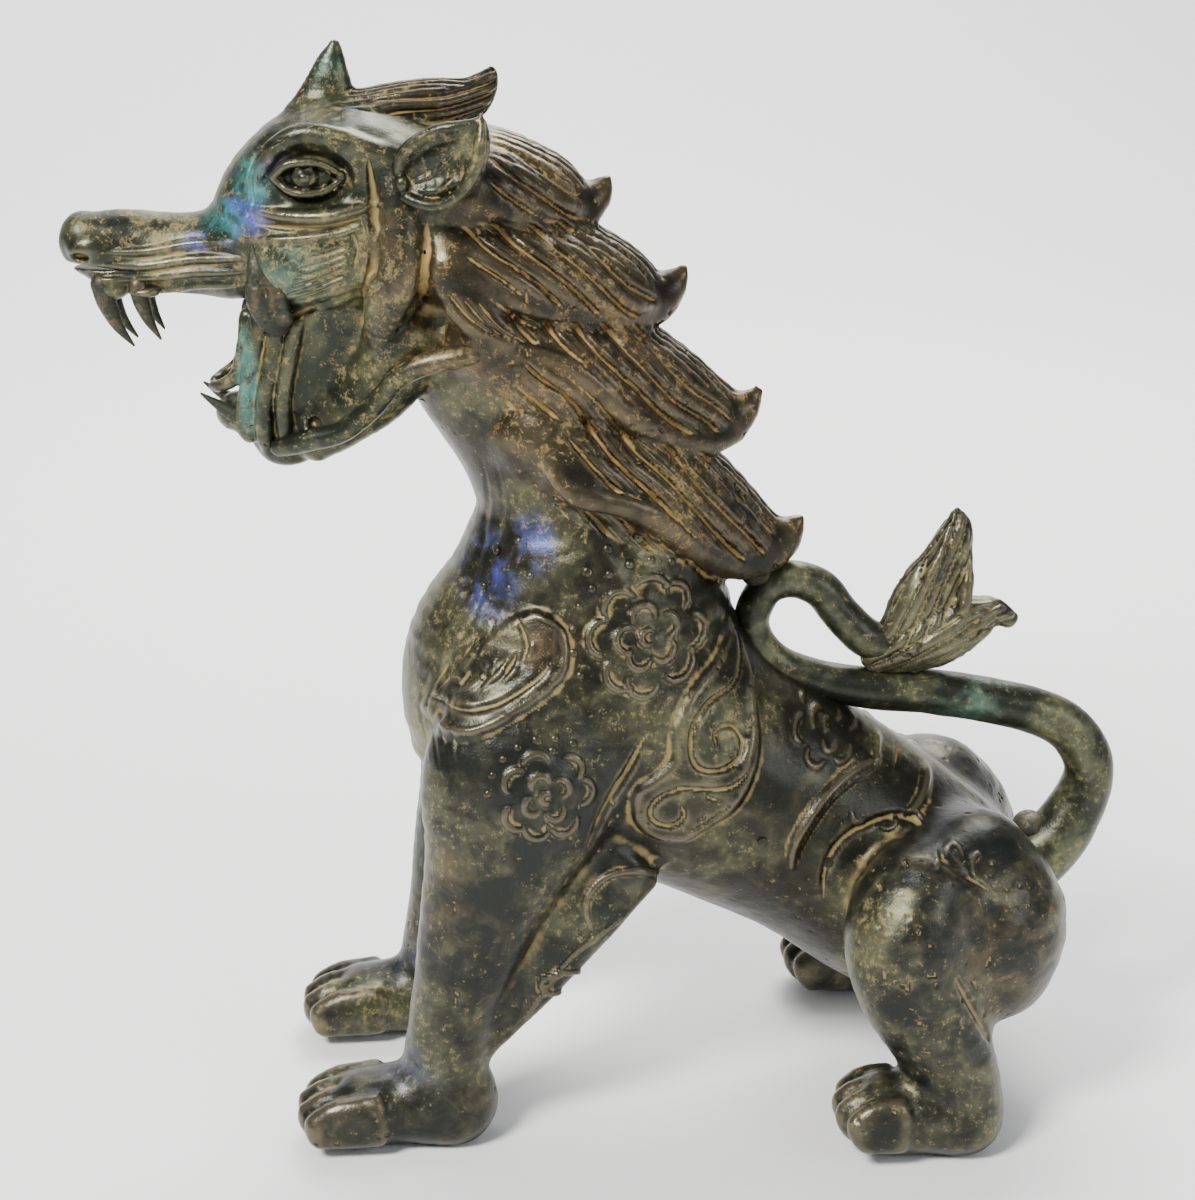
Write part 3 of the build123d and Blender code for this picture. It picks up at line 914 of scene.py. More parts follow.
@dataclass
class Ornament:
    """Relief that is chased in the flanks of neck, chest, barrel and haunches."""

    shoulder: Point = (6.0, 155.5)
    foreleg: Point = (-24.0, 114.0)
    medallion: Point = (61.0, 121.0)

    def feather(self) -> list[Mark]:
        """The pointed feather on the chest, with its ribs."""
        outline = [(-59, 131), (-50, 145), (-37, 158), (-27, 164), (-20, 162), (-16.5, 155), (-17, 147),
                   (-23, 141.5), (-32, 136), (-43, 130), (-52, 128.5)]
        rim = Stroke([(-57, 132), (-45, 131.5), (-33, 136.5), (-22, 143), (-17.5, 150), (-18.5, 159),
                      (-27, 163)], 1.6, 0.8)
        inner = Stroke([(-56, 136), (-44, 136.5), (-34, 140), (-25, 146), (-21, 151)], 1.2, -0.9)
        ribs = [
            Stroke([(-53 + 6.2 * k, 138 + 2.6 * k), (-49.5 + 6.2 * k, 143 + 3.0 * k)], 1.0, -0.8)
            for k in range(4)
        ]
        veins = [
            Stroke([(-47 + 6 * k, 139 + 2.2 * k), (-41 + 6 * k, 143.5 + 3.2 * k),
                    (-36 + 5 * k, 150 + 2.6 * k)], 1.1, 0.7)
            for k in range(3)
        ]
        crown = Stroke([(-30, 161), (-28, 153), (-31, 147)], 1.2, -0.9)
        return [Plateau(outline, 1.7, 2.6), rim, inner, crown, *ribs, *veins]

    def rosettes(self) -> list[Mark]:
        """The rosettes of shoulder and foreleg, and the faint medallion on the barrel."""
        return [*self.rosette(self.shoulder, 17.0, 8, 1.15), *self.rosette(self.foreleg, 13.2, 7, 0.95),
                *self.rosette(self.medallion, 10.5, 6, 0.7)]

    def rosette(self, centre: Point, radius: float, petals: int, height: float) -> list[Mark]:
        """A flower of two rings of petals around a curl, a little uneven as if cut by hand.

        Args:
            centre: Middle of the flower, as (x, z).
            radius: Outer radius.
            petals: Petals in the outer ring.
            height: How far the petals stand out.

        Returns:
            The low boss and the strokes on it.
        """
        marks: list[Mark] = [Plateau(arc(centre, 0.8 * radius, 0, 330), 0.6 * height, 4.0)]
        rng = np.random.default_rng(petals)
        rings = ((0.70, 0.30, petals, 92.0, 0.0), (0.34, 0.20, petals - 3, 112.0, 30.0))
        for ring, size, count, half, turn in rings:
            for k in range(count):
                angle = turn + 360.0 * k / count + rng.uniform(-7, 7)
                a, away = math.radians(angle), ring * radius * rng.uniform(0.93, 1.05)
                middle = (centre[0] + away * math.cos(a), centre[1] + away * math.sin(a))
                petal = arc(middle, size * radius, angle - half, (1.6 + 0.4 * rng.random()) * half)
                marks.append(Stroke(petal, 1.5, height * rng.uniform(0.7, 1.1), taper=0.3))
        marks.append(Stroke(arc(centre, 0.12 * radius, 40, 260), 1.4, height, taper=0.3))
        return marks

    def scroll(self) -> list[Mark]:
        """The flame scroll behind the shoulder, with two spirals."""
        outline = [(31, 156), (27.5, 147.5), (18, 139.5), (12.5, 130), (12, 121), (7, 116), (1, 111),
                   (1.5, 101), (8, 94), (17, 93), (24, 97.5), (33, 104), (39, 116), (39.5, 130),
                   (36.5, 144)]
        spiral = [(33, 153), (33.5, 144), (31, 138), (23.5, 135), (18.5, 129), (18, 121), (21, 116.5),
                  (27, 115.5), (32, 118), (33.2, 122.5), (30.8, 126.6), (27.4, 127.6), (24.8, 126),
                  (25.4, 122.6)]
        small = [(17, 111), (11.5, 110.5), (7.5, 107.5), (6.8, 103), (9.6, 100.2), (14.2, 100.2),
                 (16.4, 103), (15.6, 106)]
        return [
            Plateau(outline, 2.0, 2.4),
            Stroke(spiral, 1.25, -1.3, taper=0.3),
            Stroke(small, 1.15, -1.2, taper=0.3),
            Stroke([(13, 112.5), (21, 110.6), (30, 110.2), (35, 114)], 1.1, -0.9),
            Stroke([(33, 153), (35.6, 145), (36.4, 134), (36, 121), (32, 111)], 2.0, 0.6),
            Stroke([(18, 97.5), (24, 100.5), (29, 104)], 1.0, -0.7),
        ]

    def haunch(self) -> list[Mark]:
        """The S scroll over the haunch."""
        band = [(49, 82), (50.5, 92), (58, 102.5), (68, 108.5), (78, 110)]
        curl = [(76, 108.5), (77.5, 113.6), (82, 116.6), (88, 115.8), (92.6, 111.6), (93.4, 104.6),
                (89.6, 98.6), (84, 95.6)]
        return [
            Stroke(band, 3.2, 1.7, taper=0.5),
            Stroke([(x + 0.8, z - 0.4) for x, z in band], 0.8, -0.7),
            Stroke(curl, 3.0, 1.6, taper=0.4),
            Stroke([(82, 107), (84.5, 110.5), (84, 114)], 1.1, -0.9),
            Stroke([(59, 71), (59, 82), (64, 91), (75, 95.4), (86, 94.6), (95, 88.6), (104, 82)], 1.8, -0.9),
            Stroke([(92, 61), (97, 52), (102, 43), (105, 36)], 1.5, -1.0),
        ]

    def chest(self) -> list[Mark]:
        """Long engraved lines down the neck and chest, and the crease behind the foreleg."""
        lines = [
            Stroke([(-40 + 4 * k, 205 - k), (-38 + 4 * k, 190), (-42 + 4.4 * k, 172), (-52 + 5.4 * k, 152)],
                   1.1, -0.3)
            for k in range(2)
        ]
        lines += [
            Stroke([(-57 + 3 * k, 120), (-58.5 + 3 * k, 133 + k), (-53 + 3.4 * k, 148), (-46 + 3 * k, 160)],
                   0.9, -0.35, facing=(-0.2, 0.15))
            for k in range(4)
        ]
        crease = Stroke([(5, 128), (0, 118), (-5, 110), (-9, 102), (-12, 94)], 2.0, -1.2)
        ledge = Stroke([(-10, 190), (-4, 184), (3, 172), (4, 164)], 4.0, -0.7)
        return [*lines, crease, ledge]

    def barrel(self) -> list[Mark]:
        """The tufts of fur on the barrel."""
        return [Stroke(arc((70 + 8 * k, 98 - 2.5 * k), 3.0, 150 + 70 * k, 160), 1.0, 0.7) for k in range(5)]

    def flame(self) -> list[Mark]:
        """Raised loops on the fin behind the foreleg."""
        return [
            Stroke(arc((-19, 51), 6.2, 0, 350, 0.6), 1.3, 1.1, closed=True),
            Stroke([(-10, 66), (-12, 76), (-6, 83), (4, 84), (12, 80)], 1.5, 1.1),
            Stroke([(-30, 40), (-24, 50), (-16, 60), (-8, 66), (0, 70)], 1.3, 0.9),
            Stroke([(-33, 34), (-24, 41), (-15, 47)], 1.0, -0.8),
        ]

    def beads(self) -> list[Triple]:
        """Raised beads of the neck and rosettes, as (x, z, radius)."""
        beads = [(-11, 175, 1.7), (-5, 181, 1.5), (4, 183, 1.5), (12, 180, 1.4), (-30, 182, 1.2),
                 (-36, 178, 1.2), (-27, 173, 1.2), (-33, 169, 1.1), (-40, 168, 1.2), (-22, 127, 1.3),
                 (-26, 130, 1.3), (-17, 132, 1.1)]
        rings = ((self.shoulder, 21.5, 205, 17, 9, 1.3), (self.foreleg, 16.5, 175, 19, 7, 1.25))
        for (x, z), away, start, step, count, radius in rings:
            for k in range(count):
                a = math.radians(start - step * k)
                beads.append((x + away * math.cos(a), z + away * math.sin(a), radius))
        return beads

    def relief(self) -> list[Mark]:
        """All the strokes of the flanks."""
        return [*self.feather(), *self.rosettes(), *self.scroll(), *self.haunch(), *self.chest(),
                *self.barrel(), *self.flame()]


# Pouring and parting the casting


@dataclass
class Skin:
    """A mesh as plain arrays, in millimetres."""

    points: np.ndarray
    faces: np.ndarray
    owner: np.ndarray


def subdivided(skin: Skin) -> Skin:
    """The skin after one Catmull-Clark step.

    Args:
        skin: The coarse skin.

    Returns:
        The finer skin, each face with its parent's owner.
    """
    mesh = bpy.data.meshes.new("rough")
    fill_mesh(mesh, skin.points, skin.faces)
    tag = mesh.attributes.new("owner", "INT", "FACE")
    tag.data.foreach_set("value", skin.owner.astype(np.int32))
    rough = linked("rough", mesh)
    step = rough.modifiers.new("step", "SUBSURF")
    step.levels = step.render_levels = 1
    graph = bpy.context.evaluated_depsgraph_get()
    fine = bpy.data.meshes.new_from_object(rough.evaluated_get(graph))
    points = coordinates(fine)
    faces = np.empty(len(fine.polygons) * 4, np.int32)
    fine.polygons.foreach_get("vertices", faces)
    owner = np.empty(len(fine.polygons), np.int32)
    fine.attributes["owner"].data.foreach_get("value", owner)
    bpy.data.objects.remove(rough)
    bpy.data.meshes.remove(mesh)
    bpy.data.meshes.remove(fine)
    return Skin(points, faces.reshape(-1, 4).astype(np.int64), owner)


def fill_mesh(mesh: bpy.types.Mesh, points: np.ndarray, quads: np.ndarray,
              triangles: np.ndarray | None = None) -> None:
    """Fill an empty mesh from arrays.

    Args:
        mesh: The mesh to fill.
        points: Rows of coordinates.
        quads: Rows of four corners.
        triangles: Rows of three corners, or nothing.
    """
    triangles = np.zeros((0, 3), int) if triangles is None else triangles
    corners = np.concatenate([quads.ravel(), triangles.ravel()])
    starts = np.concatenate([np.arange(len(quads)) * 4, len(quads) * 4 + np.arange(len(triangles)) * 3])
    mesh.vertices.add(len(points))
    mesh.vertices.foreach_set("co", np.asarray(points, np.float32).ravel())
    mesh.loops.add(len(corners))
    mesh.loops.foreach_set("vertex_index", corners.astype(np.int32))
    mesh.polygons.add(len(starts))
    mesh.polygons.foreach_set("loop_start", starts.astype(np.int32))
    mesh.polygons.foreach_set("use_smooth", np.ones(len(starts), bool))
    mesh.update(calc_edges=True)


def point_normals(points: np.ndarray, faces: np.ndarray) -> np.ndarray:
    """Unit normal at each point.

    Args:
        points: Rows of places in millimetres.
        faces: Rows of four corners.

    Returns:
        One unit vector for each point.
    """
    corners = points[faces]
    flat = np.cross(corners[:, 2] - corners[:, 0], corners[:, 3] - corners[:, 1])
    total = np.stack(
        [np.bincount(faces.ravel(), np.repeat(flat[:, k], 4), len(points)) for k in range(3)], axis=1
    )
    return total / np.maximum(np.linalg.norm(total, axis=1, keepdims=True), 1e-9)


def smoothed(points: np.ndarray, faces: np.ndarray, rounds: int) -> np.ndarray:
    """Points after a number of rounds of averaging with their neighbours.

    Args:
        points: Rows of places in millimetres.
        faces: Rows of four corners.
        rounds: How often to average.

    Returns:
        The evened points.
    """
    a = faces.ravel()
    b = np.roll(faces, -1, axis=1).ravel()
    count = np.maximum(np.bincount(a, minlength=len(points)), 1)[:, None]
    for _ in range(rounds):
        total = np.stack([np.bincount(a, points[b, k], len(points)) for k in range(3)], axis=1)
        points = 0.4 * points + 0.6 * total / count
    return points


def majority(faces: np.ndarray, owner: np.ndarray, rounds: int, count: int) -> np.ndarray:
    """Owners of the faces after their borders are evened out.

    Args:
        faces: Rows of four corners.
        owner: Owner of each face.
        rounds: How often to vote.
        count: Number of owners.

    Returns:
        The new owner of each face.
    """
    corners = faces.max() + 1
    for _ in range(rounds):
        votes = np.zeros((corners, count), np.float32)
        np.add.at(votes, (faces.ravel(), np.repeat(owner, 4)), 1.0)
        owner = votes[faces].sum(axis=1).argmax(axis=1)
    return owner


@dataclass
class Foundry:
    """Turns the forms and the relief into one closed mesh for each node."""

    casting: Casting
    relief: list[Mark]
    paired: tuple[str, ...] = ("front_leg", "hind_leg", "elbow_flame", "ear", "cheek_tusk")
    skirt: float = 1.2
    swells: tuple[tuple[float, float, int], ...] = ((0.22, 9.0, 5), (0.1, 3.4, 6))
    pitting: tuple[tuple[float, float, int], ...] = ((0.6, 2.1, 7), (0.5, 1.3, 8), (0.35, 26.0, 9))
    pit_edge: Point = (0.66, 0.86)
    pit_depth: float = 0.5
    wear_scale: Triple = (0.26, 1.0, 1.5)

    def pour(self, lattice: Lattice, nodes: Sequence[str], overlap: float) -> dict[str, "Poured"]:
        """Make the meshes of some nodes.

        Args:
            lattice: Voxels that cover the nodes.
            nodes: Names of the nodes without a side.
            overlap: How far, in millimetres, these nodes dive under the others.

        Returns:
            The poured pieces by full node name.
        """
        points, quads = lattice.skin(self.casting)
        points = project(points, self.casting)
        names, table = self.casting.owners(points[quads].mean(axis=1))
        inside = np.array([name in nodes for name in names])
        best = table.argmin(axis=1)
        own = np.where(inside[None, :], table, FAR)
        gap = own.min(axis=1) - table.min(axis=1)
        owner = np.where(gap <= overlap, own.argmin(axis=1), best)
        owner = majority(quads, owner, 2, len(names))
        skin = subdivided(Skin(points, quads, owner))
        skin.points = self._sunk(skin.points, skin.faces, inside, overlap)
        surface = Surface(skin.points, point_normals(skin.points, skin.faces))
        for item in self.relief:
            item.apply(surface)
        surface.lift += layered(skin.points, self.swells)
        pits = layered(skin.points, self.pitting)
        surface.lift -= self.pit_depth * smooth_step(*self.pit_edge, pits)
        solid = skin.points + surface.lift[:, None] * surface.normals
        solid[:, 2] = np.maximum(solid[:, 2], 0.0)
        wear = self._wear(solid, skin.faces, surface.lift) / self.wear_scale
        sides = np.sign(skin.points[skin.faces][:, :, 1].mean(axis=1))
        poured = {}
        for index, name in enumerate(names):
            if not inside[index]:
                continue
            for side in ((-1, "_left"), (1, "_right")) if name in self.paired else ((0, ""),):
                chosen = skin.owner == index
                if side[0]:
                    chosen &= sides == side[0]
                if chosen.any():
                    poured[name + side[1]] = Poured.parted(solid, skin.faces[chosen], surface.normals,
                                                           wear, self.skirt)
        return poured

    def _sunk(self, points: np.ndarray, faces: np.ndarray, inside: np.ndarray,
              overlap: float) -> np.ndarray:
        """Points pushed a little under the nodes that are poured elsewhere.

        Args:
            points: Points of the skin.
            faces: Its quads.
            inside: Which nodes are being poured.
            overlap: How far the nodes dive under the others.

        Returns:
            The moved points.
        """
        if overlap <= 0:
            return points
        _, table = self.casting.owners(points)
        gap = table[:, inside].min(axis=1) - table[:, ~inside].min(axis=1)
        push = np.clip(0.12 * (gap + 0.6), 0.0, 0.5)
        return points - push[:, None] * point_normals(points, faces)

    @staticmethod
    def _wear(points: np.ndarray, faces: np.ndarray, lift: np.ndarray) -> np.ndarray:
        """Recess at a small and a large scale, and the relief's height, in millimetres.

        Args:
            points: Points of the finished skin.
            faces: Its quads.
            lift: Height of the relief at each point.

        Returns:
            Three columns, one row for each point.
        """
        normals = point_normals(points, faces)
        small = smoothed(points, faces, 6)
        large = smoothed(small, faces, 36)
        recess = [((level - points) * normals).sum(axis=1) for level in (small, large)]
        return np.stack([*recess, lift], axis=1)


@dataclass
class Poured:
    """One node's closed mesh as arrays, in millimetres."""

    points: np.ndarray
    quads: np.ndarray
    triangles: np.ndarray
    wear: np.ndarray
    border: np.ndarray

    @staticmethod
    def parted(points: np.ndarray, faces: np.ndarray, normals: np.ndarray, wear: np.ndarray,
               skirt: float) -> "Poured":
        """Take some faces of the skin and close them with a skirt and a cap behind each seam.

        Args:
            points: All the skin's points.
            faces: The quads of this piece.
            normals: All the skin's normals.
            wear: All the skin's wear values.
            skirt: How deep the skirt goes.

        Returns:
            The closed piece.
        """
        used, compact = np.unique(faces, return_inverse=True)
        faces = compact.reshape(-1, 4)
        p, n, w = points[used], normals[used], wear[used]
        a = faces.ravel()
        b = np.roll(faces, -1, axis=1).ravel()
        key = a * len(p) + b
        reverse = b * len(p) + a
        open_edges = ~np.isin(key, reverse)
        a, b = a[open_edges], b[open_edges]
        ring = np.unique(np.concatenate([a, b]))
        if not len(ring):
            return Poured(p, faces, np.zeros((0, 3), int), w, ring)
        inner = np.full(len(p), -1)
        inner[ring] = len(p) + np.arange(len(ring))
        group = np.arange(len(p))
        for _ in range(len(ring)):
            low = np.minimum(group[a], group[b])
            before = group.copy()
            np.minimum.at(group, a, low)
            np.minimum.at(group, b, low)
            group = group[group]
            if (group == before).all():
                break
        roots = np.unique(group[ring])
        centres = np.array([(p[ring] - skirt * n[ring])[group[ring] == r].mean(axis=0) for r in roots])
        centre_of = len(p) + len(ring) + np.searchsorted(roots, group[a])
        skirts = np.stack([b, a, inner[a], inner[b]], axis=1)
        caps = np.stack([inner[b], inner[a], centre_of], axis=1)
        all_points = np.vstack([p, p[ring] - skirt * n[ring], centres])
        all_wear = np.vstack([w, w[ring], np.zeros((len(centres), w.shape[1]))])
        return Poured(all_points, np.vstack([faces, skirts]), caps, all_wear, ring)

    def to_object(self, name: str) -> bpy.types.Object:
        """Make the Blender object, in metres, with its wear and tint attributes.

        Args:
            name: Name of the object.

        Returns:
            The object, without a material.
        """
        mesh = bpy.data.meshes.new(name)
        fill_mesh(mesh, self.points * MM, self.quads, self.triangles)
        on_border = np.zeros(len(self.points), bool)
        on_border[self.border] = True
        ends = np.empty(len(mesh.edges) * 2, np.int32)
        mesh.edges.foreach_get("vertices", ends)
        sharp = mesh.attributes.new("sharp_edge", "BOOLEAN", "EDGE")
        sharp.data.foreach_set("value", on_border[ends.reshape(-1, 2)].all(axis=1))
        paint(mesh, self.points, self.wear)
        return linked(name, mesh)


# Tints


class Tint(Enum):
    """Colours that lie over the base patina in places."""

    TURQUOISE = 0
    BLUE = 1
    BROWN = 2


@dataclass(frozen=True)
class Patch:
    """A soft patch of one tint."""

    tint: Tint
    centre: Triple
    radii: Triple
    strength: float = 1.0


PATCHES: tuple[Patch, ...] = (
    Patch(Tint.TURQUOISE, (-109, 9, 273), (8, 14, 6)),
    Patch(Tint.TURQUOISE, (-101, 14, 284), (7, 14, 8)),
    Patch(Tint.TURQUOISE, (-105, 11, 228), (3.6, 6, 18), 0.65),
    Patch(Tint.TURQUOISE, (-90, 20, 260), (14, 12, 9), 0.22),
    Patch(Tint.TURQUOISE, (-80, 0, 313), (5, 6, 6), 0.3),
    Patch(Tint.TURQUOISE, (106, 0, 122), (16, 9, 8), 0.4),
    Patch(Tint.BLUE, (-113, 10, 266), (9, 12, 4.5)),
    Patch(Tint.BLUE, (-103, 15, 275), (8, 12, 7)),
    Patch(Tint.BLUE, (-95, 20, 288), (5, 9, 9), 0.7),
    Patch(Tint.BLUE, (-39, 24, 172), (10, 24, 13), 0.8),
    Patch(Tint.BLUE, (-26, 30, 182), (7, 24, 9), 0.7),
    Patch(Tint.BLUE, (-62, 36, 26), (14, 14, 12), 0.22),
    Patch(Tint.BROWN, (-62, 24, 262), (10, 14, 26)),
    Patch(Tint.BROWN, (-39, 37, 303), (3, 4, 3)),
    Patch(Tint.BROWN, (-22, 40, 154), (9, 14, 10)),
    Patch(Tint.BROWN, (-50, 28, 236), (16, 14, 7), 0.8),
    Patch(Tint.BROWN, (-52, 36, 84), (14, 18, 22), 0.5),
    Patch(Tint.BROWN, (104, 44, 62), (26, 24, 26), 0.5),
    Patch(Tint.BROWN, (-2, 30, 235), (26, 30, 20), 0.5),
)


def paint(mesh: bpy.types.Mesh, points: np.ndarray, wear: np.ndarray) -> None:
    """Write the wear and tint attributes of a mesh.

    Args:
        mesh: The mesh, with as many vertices as there are points.
        points: The same vertices in millimetres.
        wear: Columns of small recess, large recess and lift.
    """
    p = points.copy()
    p[:, 1] = np.abs(p[:, 1])
    tint = np.zeros((len(p), 4), np.float32)
    for patch in PATCHES:
        q = np.linalg.norm((p - np.array(patch.centre)) / np.array(patch.radii), axis=1)
        column = tint[:, patch.tint.value]
        column[:] = np.maximum(column, patch.strength * (1 - smooth_step(0.35, 1.25, q)))
    tint[:, 3] = 1.0
    rows = np.ones((len(p), 4), np.float32)
    rows[:, :3] = np.clip(0.5 + 0.5 * wear, 0.0, 1.0)
    for name, values in (("wear", rows), ("tint", tint)):
        layer = mesh.attributes.new(name, "FLOAT_COLOR", "POINT")
        layer.data.foreach_set("color", values.ravel())


# Finishes


class Value:
    """A shader output that can be used in arithmetic."""

    def __init__(self, graph: "Graph", socket: bpy.types.NodeSocket) -> None:
        """Keep the socket and the graph it belongs to."""
        self.graph = graph
        self.socket = socket

    def __add__(self, other: "Operand") -> "Value":
        """Sum."""
        return self.graph.math("ADD", self, other)

    __radd__ = __add__

    def __sub__(self, other: "Operand") -> "Value":
        """Difference."""
        return self.graph.math("SUBTRACT", self, other)

    def __rsub__(self, other: "Operand") -> "Value":
        """Difference with the value on the right."""
        return self.graph.math("SUBTRACT", other, self)

    def __mul__(self, other: "Operand") -> "Value":
        """Product."""
        return self.graph.math("MULTIPLY", self, other)

    __rmul__ = __mul__

    def above(self, low: float, high: float) -> "Value":
        """Zero below low, one above high, and smooth between them."""
        node = self.graph.make("ShaderNodeMapRange", {"Value": self, "From Min": low, "From Max": high},
                               interpolation_type="SMOOTHSTEP")
        return Value(self.graph, node.outputs["Result"])


Operand = Value | float


class Nodes:
    """A node tree under construction."""

    def __init__(self, tree: bpy.types.NodeTree) -> None:
        """Keep the tree."""
        self.tree = tree

    def make(self, kind: str, inputs: dict[str | int, object], **settings: object) -> bpy.types.Node:
        """Make a node.

        Args:
            kind: The node's type.
            inputs: Values, sockets or constants by socket name or index.
            settings: Properties of the node.

        Returns:
            The node.
        """
        node = self.tree.nodes.new(kind)
        for key, value in settings.items():
            setattr(node, key, value)
        for key, value in inputs.items():
            self.feed(node.inputs[key], value)
        return node

    def feed(self, socket: bpy.types.NodeSocket, value: object) -> None:
        """Link a value or a socket to a socket, or set the socket to a constant."""
        if isinstance(value, Value):
            value = value.socket
        if isinstance(value, bpy.types.NodeSocket):
            self.tree.links.new(value, socket)
        elif isinstance(value, tuple) and socket.type == "RGBA":
            socket.default_value = (*value, 1.0)
        else:
            socket.default_value = value


class Graph(Nodes):
    """A material's node tree."""

    def __init__(self, name: str) -> None:
        """Start an empty material of the name.

        Args:
            name: Name of the material.
        """
        self.material = bpy.data.materials.new(name)
        self.material.use_nodes = True
        super().__init__(self.material.node_tree)
        self.shader = self.tree.nodes["Principled BSDF"]
        place = self.make("ShaderNodeTexCoord", {})
        self.place = Value(self, place.outputs["Object"])

    def math(self, operation: str, a: Operand, b: Operand) -> Value:
        """A number from two others."""
        return Value(self, self.make("ShaderNodeMath", {0: a, 1: b}, operation=operation).outputs[0])

    def noise(self, scale: float, detail: float = 3.0, rough: float = 0.55, warp: float = 0.0) -> Value:
        """Noise in object space, with its scale per metre."""
        node = self.make("ShaderNodeTexNoise", {
            "Vector": self.place, "Scale": scale, "Detail": detail, "Roughness": rough,
            "Distortion": warp,
        })
        return Value(self, node.outputs["Fac"])

    def mixed(self, a: "Value | Triple", b: "Value | Triple", factor: Operand) -> Value:
        """A colour between two others."""
        node = self.make("ShaderNodeMix", {0: factor, 6: a, 7: b}, data_type="RGBA")
        return Value(self, node.outputs[2])

    def layers(self, name: str) -> tuple[Value, Value, Value]:
        """The three numbers of a painted attribute.

        Args:
            name: Name of the attribute.

        Returns:
            Its red, green and blue.
        """
        paint_node = self.make("ShaderNodeAttribute", {}, attribute_name=name)
        split = self.make("ShaderNodeSeparateColor", {"Color": Value(self, paint_node.outputs["Color"])})
        return tuple(Value(self, split.outputs[k]) for k in range(3))

    def bump(self, height: Value, strength: float, depth: float) -> Value:
        """A normal from a height."""
        node = self.make("ShaderNodeBump", {"Strength": strength, "Distance": depth, "Height": height})
        return Value(self, node.outputs["Normal"])


@dataclass(frozen=True)
class Patina:
    """Aged bronze: dark skin, worn high spots, earth in the recesses and mineral tints."""

    name: str
    dark: Triple
    olive: Triple
    earth: Triple = (0.27, 0.20, 0.075)
    worn: Triple = (0.15, 0.125, 0.078)
    verdigris: Triple = (0.125, 0.145, 0.066)
    earth_share: float = 0.0
    green_share: float = 0.0
    turquoise: Triple = (0.03, 0.30, 0.30)
    blue: Triple = (0.03, 0.07, 0.62)
    brown: Triple = (0.092, 0.056, 0.032)

    def build(self) -> bpy.types.Material:
        """Make the material."""
        g = Graph(self.name)
        recess, hollow, lift = g.layers("wear")
        turquoise, blue, brown = g.layers("tint")
        broad = g.noise(26.0, 4.0, 0.6, 0.4)
        middle = g.noise(105.0, 4.0, 0.62, 0.6)
        fine = g.noise(420.0, 4.0, 0.65)
        grain = g.noise(1500.0, 2.0, 0.6)
        colour = g.mixed(self.dark, self.olive, (broad * 0.6 + middle * 0.5).above(0.47, 0.70))
        colour = g.mixed(colour, self.brown, brown * (broad * 0.4 + middle * 0.7).above(0.44, 0.66))
        high = ((1.0 - recess) * 1.0 + (1.0 - hollow) * 0.8 + middle * 0.5).above(1.25, 1.7)
        colour = g.mixed(colour, self.worn, high * 0.55)
        green = (broad * 0.6 + middle * 0.25 + fine * 0.25 + self.green_share).above(0.54, 0.76)
        colour = g.mixed(colour, self.verdigris, green * (0.1 + fine * 0.8))
        low = (recess * 1.2 + hollow * 0.45 + fine * 0.5 + self.earth_share).above(1.3, 1.75)
        specks = (fine * 0.7 + grain * 0.4 + broad * 0.5 + self.earth_share).above(0.88, 0.98)
        earth = g.math("MAXIMUM", low * (0.45 + middle * 0.6), specks * 0.5)
        colour = g.mixed(colour, self.earth, earth)
        teal = turquoise * (middle * 0.6 + broad * 0.5).above(0.45, 0.66)
        colour = g.mixed(colour, self.turquoise, teal * 0.8)
        azure = blue * (middle * 0.65 + broad * 0.45).above(0.5, 0.68)
        colour = g.mixed(colour, self.blue, azure * 0.45)
        chalky = g.math("MAXIMUM", earth, g.math("MAXIMUM", teal * 0.5, green * 0.35))
        rough = 0.27 + fine * 0.14 + chalky * 0.34 - high * 0.05
        height = fine * 0.6 + grain * 0.3 - earth * 0.15
        g.feed(g.shader.inputs["Base Color"], colour)
        g.feed(g.shader.inputs["Metallic"], 0.62 - chalky * 0.5 - azure * 0.2)
        g.feed(g.shader.inputs["Roughness"], rough)
        g.feed(g.shader.inputs["Normal"], g.bump(height, 0.4, 0.0006))
        return g.material


@dataclass(frozen=True)
class RawMetal:
    """Plain metal with a mottled skin, for teeth, braze and inner pieces."""

    name: str
    base: Triple
    stain: Triple
    share: float = 0.0
    metallic: float = 0.8
    rough: float = 0.42

    def build(self) -> bpy.types.Material:
        """Make the material."""
        g = Graph(self.name)
        middle = g.noise(160.0, 4.0, 0.62, 0.5)
        grain = g.noise(900.0, 3.0, 0.6)
        stain = (middle * 0.75 + grain * 0.35 + self.share).above(0.5, 0.64)
        g.feed(g.shader.inputs["Base Color"], g.mixed(self.base, self.stain, stain))
        g.feed(g.shader.inputs["Metallic"], self.metallic)
        g.feed(g.shader.inputs["Roughness"], self.rough + stain * 0.2)
        g.feed(g.shader.inputs["Normal"], g.bump(grain, 0.3, 0.0005))
        return g.material


